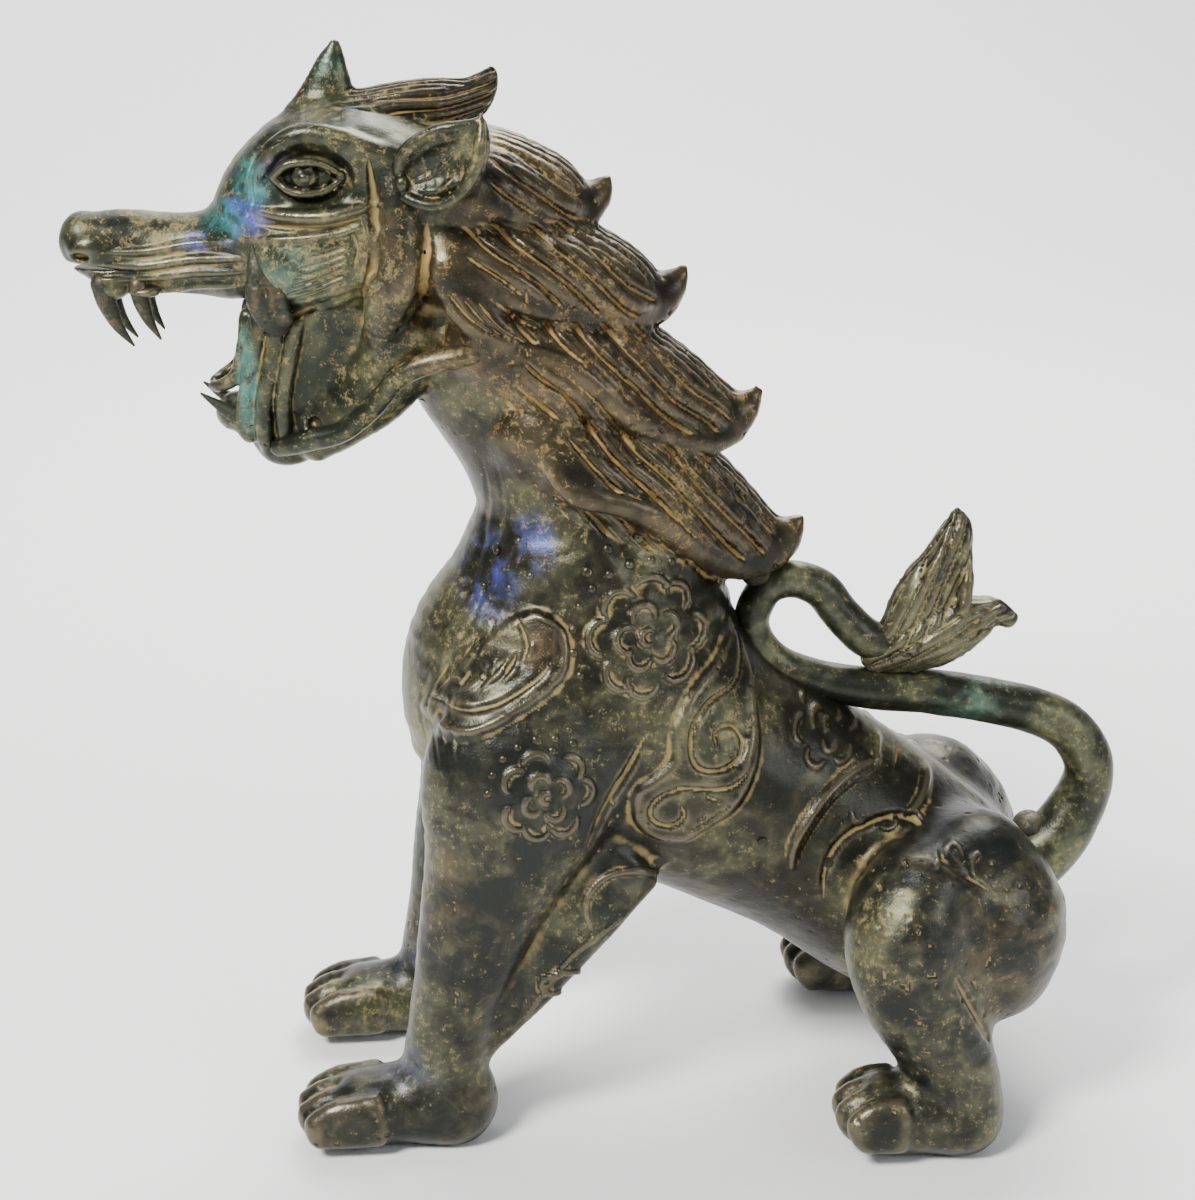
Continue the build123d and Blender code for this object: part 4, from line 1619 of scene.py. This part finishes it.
FINISHES: dict[str, Patina | RawMetal] = {
    "body_bronze": Patina("body_bronze", (0.015, 0.015, 0.010), (0.060, 0.056, 0.031)),
    "leg_bronze": Patina("leg_bronze", (0.015, 0.017, 0.014), (0.056, 0.054, 0.034)),
    "head_bronze": Patina("head_bronze", (0.017, 0.021, 0.014), (0.078, 0.080, 0.041),
                          worn=(0.125, 0.115, 0.068), verdigris=(0.098, 0.118, 0.055),
                          earth_share=0.05, green_share=0.0),
    "mane_bronze": Patina("mane_bronze", (0.016, 0.014, 0.009), (0.058, 0.047, 0.024),
                          earth=(0.30, 0.19, 0.055), worn=(0.105, 0.080, 0.045),
                          earth_share=0.02, green_share=-0.08),
    "tail_bronze": Patina("tail_bronze", (0.020, 0.022, 0.015), (0.072, 0.075, 0.045),
                          earth_share=0.02, green_share=0.05),
    "tooth_bronze": RawMetal("tooth_bronze", (0.085, 0.066, 0.042), (0.034, 0.038, 0.027), 0.05, 0.7),
    "braze": RawMetal("braze", (0.075, 0.062, 0.034), (0.030, 0.032, 0.021), 0.04, 0.5, 0.5),
    "inner_bronze": RawMetal("inner_bronze", (0.05, 0.047, 0.034), (0.03, 0.03, 0.022), 0.0, 0.7, 0.4),
}


# Rods and beads


class Tree(Nodes):
    """A geometry node tree under construction."""

    def __init__(self, name: str, inputs: dict[str, str]) -> None:
        """Start a tree with a geometry input and output and named further inputs.

        Args:
            name: Name of the tree.
            inputs: Socket type of each further input.
        """
        super().__init__(bpy.data.node_groups.new(name, "GeometryNodeTree"))
        ports = self.tree.interface
        ports.new_socket("Geometry", in_out="INPUT", socket_type="NodeSocketGeometry")
        for label, kind in inputs.items():
            ports.new_socket(label, in_out="INPUT", socket_type=kind)
        ports.new_socket("Geometry", in_out="OUTPUT", socket_type="NodeSocketGeometry")
        self.start = self.make("NodeGroupInput", {})
        self.end = self.make("NodeGroupOutput", {})

    def finish(self, geometry: bpy.types.NodeSocket) -> bpy.types.NodeTree:
        """End the tree with Realize Instances and Set Material.

        Args:
            geometry: Output that holds the tree's result.

        Returns:
            The finished tree.
        """
        real = self.make("GeometryNodeRealizeInstances", {"Geometry": geometry})
        last = self.make("GeometryNodeSetMaterial",
                         {"Geometry": real.outputs[0], "Material": self.start.outputs["Material"]})
        self.feed(self.end.inputs[0], last.outputs[0])
        return self.tree


def grown(name: str, base: bpy.types.Mesh, tree: bpy.types.NodeTree,
          values: dict[str, object]) -> bpy.types.Object:
    """Run a tree on a mesh and keep the result as a plain mesh.

    Args:
        name: Name of the new object.
        base: The mesh that the tree starts from.
        tree: The node tree.
        values: The tree's inputs by name.

    Returns:
        The object, without modifiers.
    """
    seed = linked(name, base)
    modifier = seed.modifiers.new("grow", "NODES")
    modifier.node_group = tree
    ports = {item.name: item.identifier for item in tree.interface.items_tree if item.in_out == "INPUT"}
    for label, value in values.items():
        modifier[ports[label]] = value
    graph = bpy.context.evaluated_depsgraph_get()
    mesh = bpy.data.meshes.new_from_object(seed.evaluated_get(graph))
    seed.modifiers.remove(modifier)
    seed.data = mesh
    mesh.name = name
    bpy.data.meshes.remove(base)
    mesh.materials.clear()
    mesh.materials.append(values["Material"])
    count = len(mesh.polygons)
    mesh.polygons.foreach_set("material_index", np.zeros(count, np.int32))
    mesh.polygons.foreach_set("use_smooth", np.ones(count, bool))
    LOG.info("%s: %d faces", name, count)
    return seed


def rod_tree() -> bpy.types.NodeTree:
    """A tree that runs a round section along a path and roughens it.

    Returns:
        The tree, with inputs Sides, Roughness, Grain, Seed and Material.
    """
    tree = Tree("rod", {
        "Sides": "NodeSocketInt", "Roughness": "NodeSocketFloat", "Grain": "NodeSocketFloat",
        "Seed": "NodeSocketFloat", "Material": "NodeSocketMaterial",
    })
    ports = tree.start.outputs
    path = tree.make("GeometryNodeMeshToCurve", {0: ports["Geometry"]})
    width = tree.make("GeometryNodeInputNamedAttribute", {"Name": "width"}, data_type="FLOAT")
    ring = tree.make("GeometryNodeCurvePrimitiveCircle",
                     {"Resolution": ports["Sides"], "Radius": 1.0}, mode="RADIUS")
    skin = tree.make("GeometryNodeCurveToMesh",
                     {"Curve": path.outputs[0], "Profile Curve": ring.outputs[0],
                      "Scale": width.outputs["Attribute"], "Fill Caps": True})
    noise = tree.make("ShaderNodeTexNoise",
                      {"W": ports["Seed"], "Scale": ports["Grain"], "Detail": 3.0},
                      noise_dimensions="4D")
    centred = tree.make("ShaderNodeMath", {0: noise.outputs["Fac"], 1: 0.5}, operation="SUBTRACT")
    height = tree.make("ShaderNodeMath", {0: centred.outputs[0], 1: ports["Roughness"]},
                       operation="MULTIPLY")
    normal = tree.make("GeometryNodeInputNormal", {})
    offset = tree.make("ShaderNodeVectorMath", {0: normal.outputs[0], "Scale": height.outputs[0]},
                       operation="SCALE")
    rough = tree.make("GeometryNodeSetPosition",
                      {"Geometry": skin.outputs[0], "Offset": offset.outputs["Vector"]})
    return tree.finish(rough.outputs[0])


def bead_tree() -> bpy.types.NodeTree:
    """A tree that sets a flattened bead on each point, square to the point's normal.

    Returns:
        The tree, with inputs Flatness and Material.
    """
    tree = Tree("beads", {"Flatness": "NodeSocketFloat", "Material": "NodeSocketMaterial"})
    ports = tree.start.outputs
    points = tree.make("GeometryNodeMeshToPoints", {"Mesh": ports["Geometry"]})
    drop = tree.make("GeometryNodeMeshIcoSphere", {"Radius": 1.0, "Subdivisions": 3})
    size = tree.make("GeometryNodeInputNamedAttribute", {"Name": "width"}, data_type="FLOAT")
    out = tree.make("GeometryNodeInputNamedAttribute", {"Name": "out"}, data_type="FLOAT_VECTOR")
    turn = tree.make("FunctionNodeAlignRotationToVector", {"Vector": out.outputs["Attribute"]},
                     axis="Z")
    thin = tree.make("ShaderNodeMath", {0: size.outputs["Attribute"], 1: ports["Flatness"]},
                     operation="MULTIPLY")
    scale = tree.make("ShaderNodeCombineXYZ", {0: size.outputs["Attribute"], 1: size.outputs["Attribute"],
                                               2: thin.outputs[0]})
    beads = tree.make("GeometryNodeInstanceOnPoints", {
        "Points": points.outputs[0], "Instance": drop.outputs[0],
        "Rotation": turn.outputs[0], "Scale": scale.outputs[0],
    })
    return tree.finish(beads.outputs[0])


@dataclass
class Rod:
    """A rod along a smooth path, with a radius at each station."""

    name: str
    node: str
    stations: Sequence[Quad]
    slot: str
    sides: int = 28
    rough: float = 0.25
    grain: float = 160.0
    seed: float = 1.0

    def path(self) -> bpy.types.Mesh:
        """The path as a mesh of edges, in metres, with rounded ends."""
        rows = catmull_rom(np.array(self.stations, float), 12)
        ends = []
        for row, before in ((rows[0], rows[1]), (rows[-1], rows[-2])):
            out = row[:3] - before[:3]
            out /= max(np.linalg.norm(out), 1e-9)
            ends.append([
                [*(row[:3] + out * row[3] * math.sin(a)), row[3] * math.cos(a)]
                for a in (0.35, 0.7, 1.05, 1.4)
            ])
        rows = np.vstack([ends[0][::-1], rows, ends[1]])
        mesh = bpy.data.meshes.new(self.name)
        mesh.from_pydata((rows[:, :3] * MM).tolist(), [(k, k + 1) for k in range(len(rows) - 1)], [])
        layer = mesh.attributes.new("width", "FLOAT", "POINT")
        layer.data.foreach_set("value", np.maximum(rows[:, 3], 0.05) * MM)
        return mesh

    def build(self, tree: bpy.types.NodeTree, material: bpy.types.Material) -> bpy.types.Object:
        """Make the rod with the shared tree.

        Args:
            tree: The tree of all rods.
            material: Material of the rod.

        Returns:
            The rod, riding on the root.
        """
        made = grown(self.name, self.path(), tree, {
            "Sides": self.sides, "Roughness": self.rough * 2 * MM, "Grain": self.grain,
            "Seed": self.seed, "Material": material,
        })
        points = coordinates(made.data) / MM
        wear = np.stack([value_noise(points, size, 9) for size in (2.0, 6.0, 4.0)], axis=1) * 0.3
        paint(made.data, points, wear)
        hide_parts(self.node)
        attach(made, ROOT)
        return made


@dataclass
class Rods:
    """The tail, the beard strands and the teeth."""

    tail: tuple[Quad, ...] = (
        (116, 0, 62, 9.2), (129, 0, 68, 10.4), (139.6, 0, 80, 9.2), (145.6, 0, 96, 7.7), (141.4, 0, 108, 7.4),
        (131.5, 0, 115.6, 7.2), (115, 0, 120.6, 7.0), (96, 0, 124.2, 6.9), (77, 0, 126, 6.4),
        (61, 0, 129.4, 5.8), (47, 0, 136, 5.5), (40.5, 0, 147, 5.4), (44, 0, 157.6, 5.4),
        (52, 0, 161, 5.6), (61, 0, 157.8, 5.8), (68, 0, 149, 5.8), (76, 0, 141.5, 6), (84, 0, 140, 6.4),
    )
    beard: tuple[Quad, ...] = (
        (-97, 10, 207, 2.6), (-91, 14, 209.5, 3.2), (-79, 19, 213.6, 3.1), (-70, 22.6, 221.5, 3.1),
        (-64, 24.6, 229, 3.1), (-57, 26.4, 233.6, 3.2), (-48, 28, 236, 3.3), (-41, 28.6, 237.4, 2.4),
        (-36.5, 28.6, 238.6, 0.8),
    )
    fangs: tuple[tuple[str, tuple[Quad, ...]], ...] = (
        ("upper_fang_front", ((-144.6, 6, 254, 3.2), (-143.4, 6, 248.6, 2.8), (-140.8, 6, 242.2, 1.7),
                              (-136.6, 6, 236.4, 0.35))),
        ("upper_fang_rear", ((-134.6, 7, 253.6, 2.8), (-133.6, 7, 248.6, 2.4), (-131.8, 7, 243.4, 1.5),
                             (-129, 7, 238.4, 0.35))),
        ("lower_fang", ((-103, 7, 213, 3.0), (-108, 7, 215.6, 2.6), (-113.6, 7, 219, 1.5),
                        (-118.4, 7, 222.4, 0.35))),
    )

    def build(self, tree: bpy.types.NodeTree, materials: dict[str, bpy.types.Material]) -> None:
        """Make every rod, those off the mid plane on both flanks.

        Args:
            tree: The tree of all rods.
            materials: Material of each slot.
        """
        rods = [Rod("tail_rod", "tail_stem", self.tail, "tail_bronze", 40, 0.45, 90.0)]
        for side, sign in (("left", -1), ("right", 1)):
            beard = [(x, sign * y, z, r) for x, y, z, r in self.beard]
            rods.append(Rod(f"beard_rod_{side}", f"beard_strand_{side}", beard, "head_bronze",
                            24, 0.5, 130.0, 2.0 + sign))
            for name, rows in self.fangs:
                fang = [(x, sign * y, z, r) for x, y, z, r in rows]
                rods.append(Rod(f"{name}_{side}_cast", f"{name}_{side}", fang, "tooth_bronze",
                                20, 0.12, 300.0, 4.0 + sign))
        for rod in rods:
            rod.build(tree, materials[rod.slot])


@dataclass
class Beads:
    """Raised beads that sit on the flanks of the torso."""

    places: list[Triple]

    def build(self, casting: Casting, tree: bpy.types.NodeTree,
              material: bpy.types.Material) -> bpy.types.Object:
        """Set the beads on both flanks of the casting.

        Args:
            casting: The forms that the beads sit on.
            tree: The tree that sets the beads.
            material: Material of the beads.

        Returns:
            All the beads as one object.
        """
        rows = []
        for x, z, radius in self.places:
            across = np.arange(70.0, 4.0, -0.25)
            ray = np.stack([np.full(len(across), x), across, np.full(len(across), z)], axis=1)
            inside = casting.field(ray) < 0
            if not inside.any():
                continue
            hit = ray[inside.argmax()]
            step = 0.5 * np.eye(3)
            out = casting.field(hit + step) - casting.field(hit - step)
            out /= np.linalg.norm(out)
            rows += [(hit * (1, s, 1), out * (1, s, 1), radius) for s in (-1, 1)]
        mesh = bpy.data.meshes.new("bead_points")
        mesh.from_pydata([tuple(p * MM) for p, _, _ in rows], [], [])
        width = mesh.attributes.new("width", "FLOAT", "POINT")
        width.data.foreach_set("value", [r * MM for _, _, r in rows])
        outward = mesh.attributes.new("out", "FLOAT_VECTOR", "POINT")
        outward.data.foreach_set("vector", np.array([n for _, n, _ in rows]).ravel())
        made = grown("relief_beads", mesh, tree, {"Flatness": 0.62, "Material": material})
        points = coordinates(made.data) / MM
        paint(made.data, points, np.full((len(points), 3), -0.3))
        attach(made, ROOT)
        return made


# Stage


@dataclass(frozen=True)
class Studio:
    """Pale floor, soft light and the camera."""

    target: Triple = (-0.0055, 0.0, 0.1559)
    azimuth: float = -4.5
    elevation: float = 18.0
    distance: float = 0.8
    lens: float = 81.1
    floor_half: float = 3.0

    def build(self) -> None:
        """Make floor, lights, world and camera."""
        self._floor()
        self._light("key", (-0.75, -0.85, 1.2), 0.4, 42.0, (1.0, 0.98, 0.95))
        self._light("fill", (0.9, -0.8, 0.6), 0.5, 5.0, (0.93, 0.96, 1.0))
        self._light("rim", (0.3, 0.8, 1.1), 0.6, 16.0, (1.0, 0.98, 0.94))
        self._light("wash", (0.0, 0.9, 1.9), 1.6, 60.0, (1.0, 1.0, 1.0), (0.0, 2.0, 0.9))
        world = bpy.data.worlds.new("room")
        world.use_nodes = True
        world.node_tree.nodes["Background"].inputs["Color"].default_value = (0.82, 0.85, 0.9, 1)
        world.node_tree.nodes["Background"].inputs["Strength"].default_value = 0.28
        bpy.context.scene.world = world
        self._camera()

    def _floor(self) -> None:
        """A pale floor that curves up behind the figure."""
        bend, back, top = 0.9, 1.1, 3.2
        profile = [(-self.floor_half, 0.0), (back, 0.0)]
        for k in range(1, 17):
            a = math.radians(90 * k / 16)
            profile.append((back + bend * math.sin(a), bend - bend * math.cos(a)))
        profile.append((back + bend, top))
        points = [(x, y, z) for y, z in profile for x in (-self.floor_half, self.floor_half)]
        faces = [(2 * k, 2 * k + 1, 2 * k + 3, 2 * k + 2) for k in range(len(profile) - 1)]
        mesh = bpy.data.meshes.new("floor")
        mesh.from_pydata(points, [], faces)
        for polygon in mesh.polygons:
            polygon.use_smooth = True
        floor = linked("floor", mesh)
        material = bpy.data.materials.new("pale_floor")
        material.use_nodes = True
        shader = material.node_tree.nodes["Principled BSDF"]
        shader.inputs["Base Color"].default_value = (0.9, 0.9, 0.9, 1)
        shader.inputs["Roughness"].default_value = 0.9
        mesh.materials.append(material)

    def _light(self, name: str, place: Triple, size: float, power: float, colour: Triple,
               aim_at: Triple | None = None) -> None:
        """One soft square light, aimed at the figure or at another point.

        Args:
            name: Name of the light.
            place: Where it stands.
            size: Side of the square, in metres.
            power: Power in watts.
            colour: Colour of the light.
            aim_at: Point to aim at, or nothing for the figure.
        """
        light = bpy.data.lights.new(name, "AREA")
        light.energy, light.size, light.color = power, size, colour
        lamp = linked(name, light)
        lamp.location = place
        aim = Vector(aim_at or self.target) - Vector(place)
        lamp.rotation_euler = aim.to_track_quat("-Z", "Y").to_euler()

    def _camera(self) -> None:
        """The camera, at the height and angle of a person looking down at a table."""
        a, e = math.radians(self.azimuth), math.radians(self.elevation)
        back = Vector((math.sin(a) * math.cos(e), -math.cos(a) * math.cos(e), math.sin(e)))
        data = bpy.data.cameras.new("camera")
        data.lens = self.lens
        data.sensor_width = 36.0
        data.clip_start = 0.01
        camera = linked("camera", data)
        camera.location = Vector(self.target) + back * self.distance
        camera.rotation_euler = (-back).to_track_quat("-Z", "Y").to_euler()
        bpy.context.scene.camera = camera


def cast(poured: dict[str, Poured], slots: dict[str, str], materials: dict[str, bpy.types.Material]) -> None:
    """Turn poured pieces into objects that stand for their nodes.

    Args:
        poured: Pieces by node.
        slots: Material slot of each node.
        materials: Material of each slot.
    """
    for node, piece in poured.items():
        made = piece.to_object(node + "_cast")
        made.data.materials.append(materials[slots[node]])
        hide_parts(node)
        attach(made, ROOT)
        LOG.info("%s: %d triangles", node, sum(len(p.vertices) - 2 for p in made.data.polygons))


def main() -> None:
    """Build the figure and its stage."""
    materials = {slot: finish.build() for slot, finish in FINISHES.items()}
    slots = {entry["node"]: entry["material_slot"] for entry in frame["record"]["subparts"]}
    for node, slot in slots.items():
        if slot in ("inner_bronze", "braze"):
            piece = bpy.data.objects[node]
            piece.data.materials.clear()
            piece.data.materials.append(materials[slot])
    head, mane, body, legs, tuft, ornament = Head(), Mane(), Body(), Legs(), Tuft(), Ornament()
    parts = [*body.parts(), *legs.parts(), *mane.parts(), *head.parts(), *tuft.parts()]
    casting = Casting(parts, head.cuts(), head.extras())
    relief = [*ornament.relief(), *head.relief(), *mane.relief(), *tuft.relief()]
    foundry = Foundry(casting, relief)
    head_nodes = ("head_shell", "lower_jaw", "brow_horn", "crown_lock")
    body_nodes = ("torso_shell", "neck_shell", "front_leg", "hind_leg", "elbow_flame", "tail_tuft",
                  "mane_lock_1", "mane_lock_2", "mane_lock_3", "mane_lock_4")
    head_box = Lattice((-160, -75, 192), (-20, 48, 325), voxel=0.95)
    body_box = Lattice((-105, -75, -4), (135, 75, 300), voxel=1.6)
    ear_box = Lattice((-112, -50, 236), (-30, 50, 312), voxel=0.75)
    poured = foundry.pour(head_box, head_nodes, overlap=0.0)
    poured |= foundry.pour(body_box, body_nodes, overlap=1.2)
    ears = Ears()
    ear_foundry = Foundry(Casting(ears.parts(), ears.cuts(), ears.extras()), ears.relief())
    poured |= ear_foundry.pour(ear_box, ("ear", "cheek_tusk"), overlap=0.0)
    cast(poured, slots, materials)
    Rods().build(rod_tree(), materials)
    Beads(ornament.beads()).build(casting, bead_tree(), materials["body_bronze"])
    Studio().build()
    LOG.info("stage: floor, lights and camera")


if __name__ == "__main__":
    logging.basicConfig(level=logging.INFO, format="%(name)s: %(message)s")
    main()
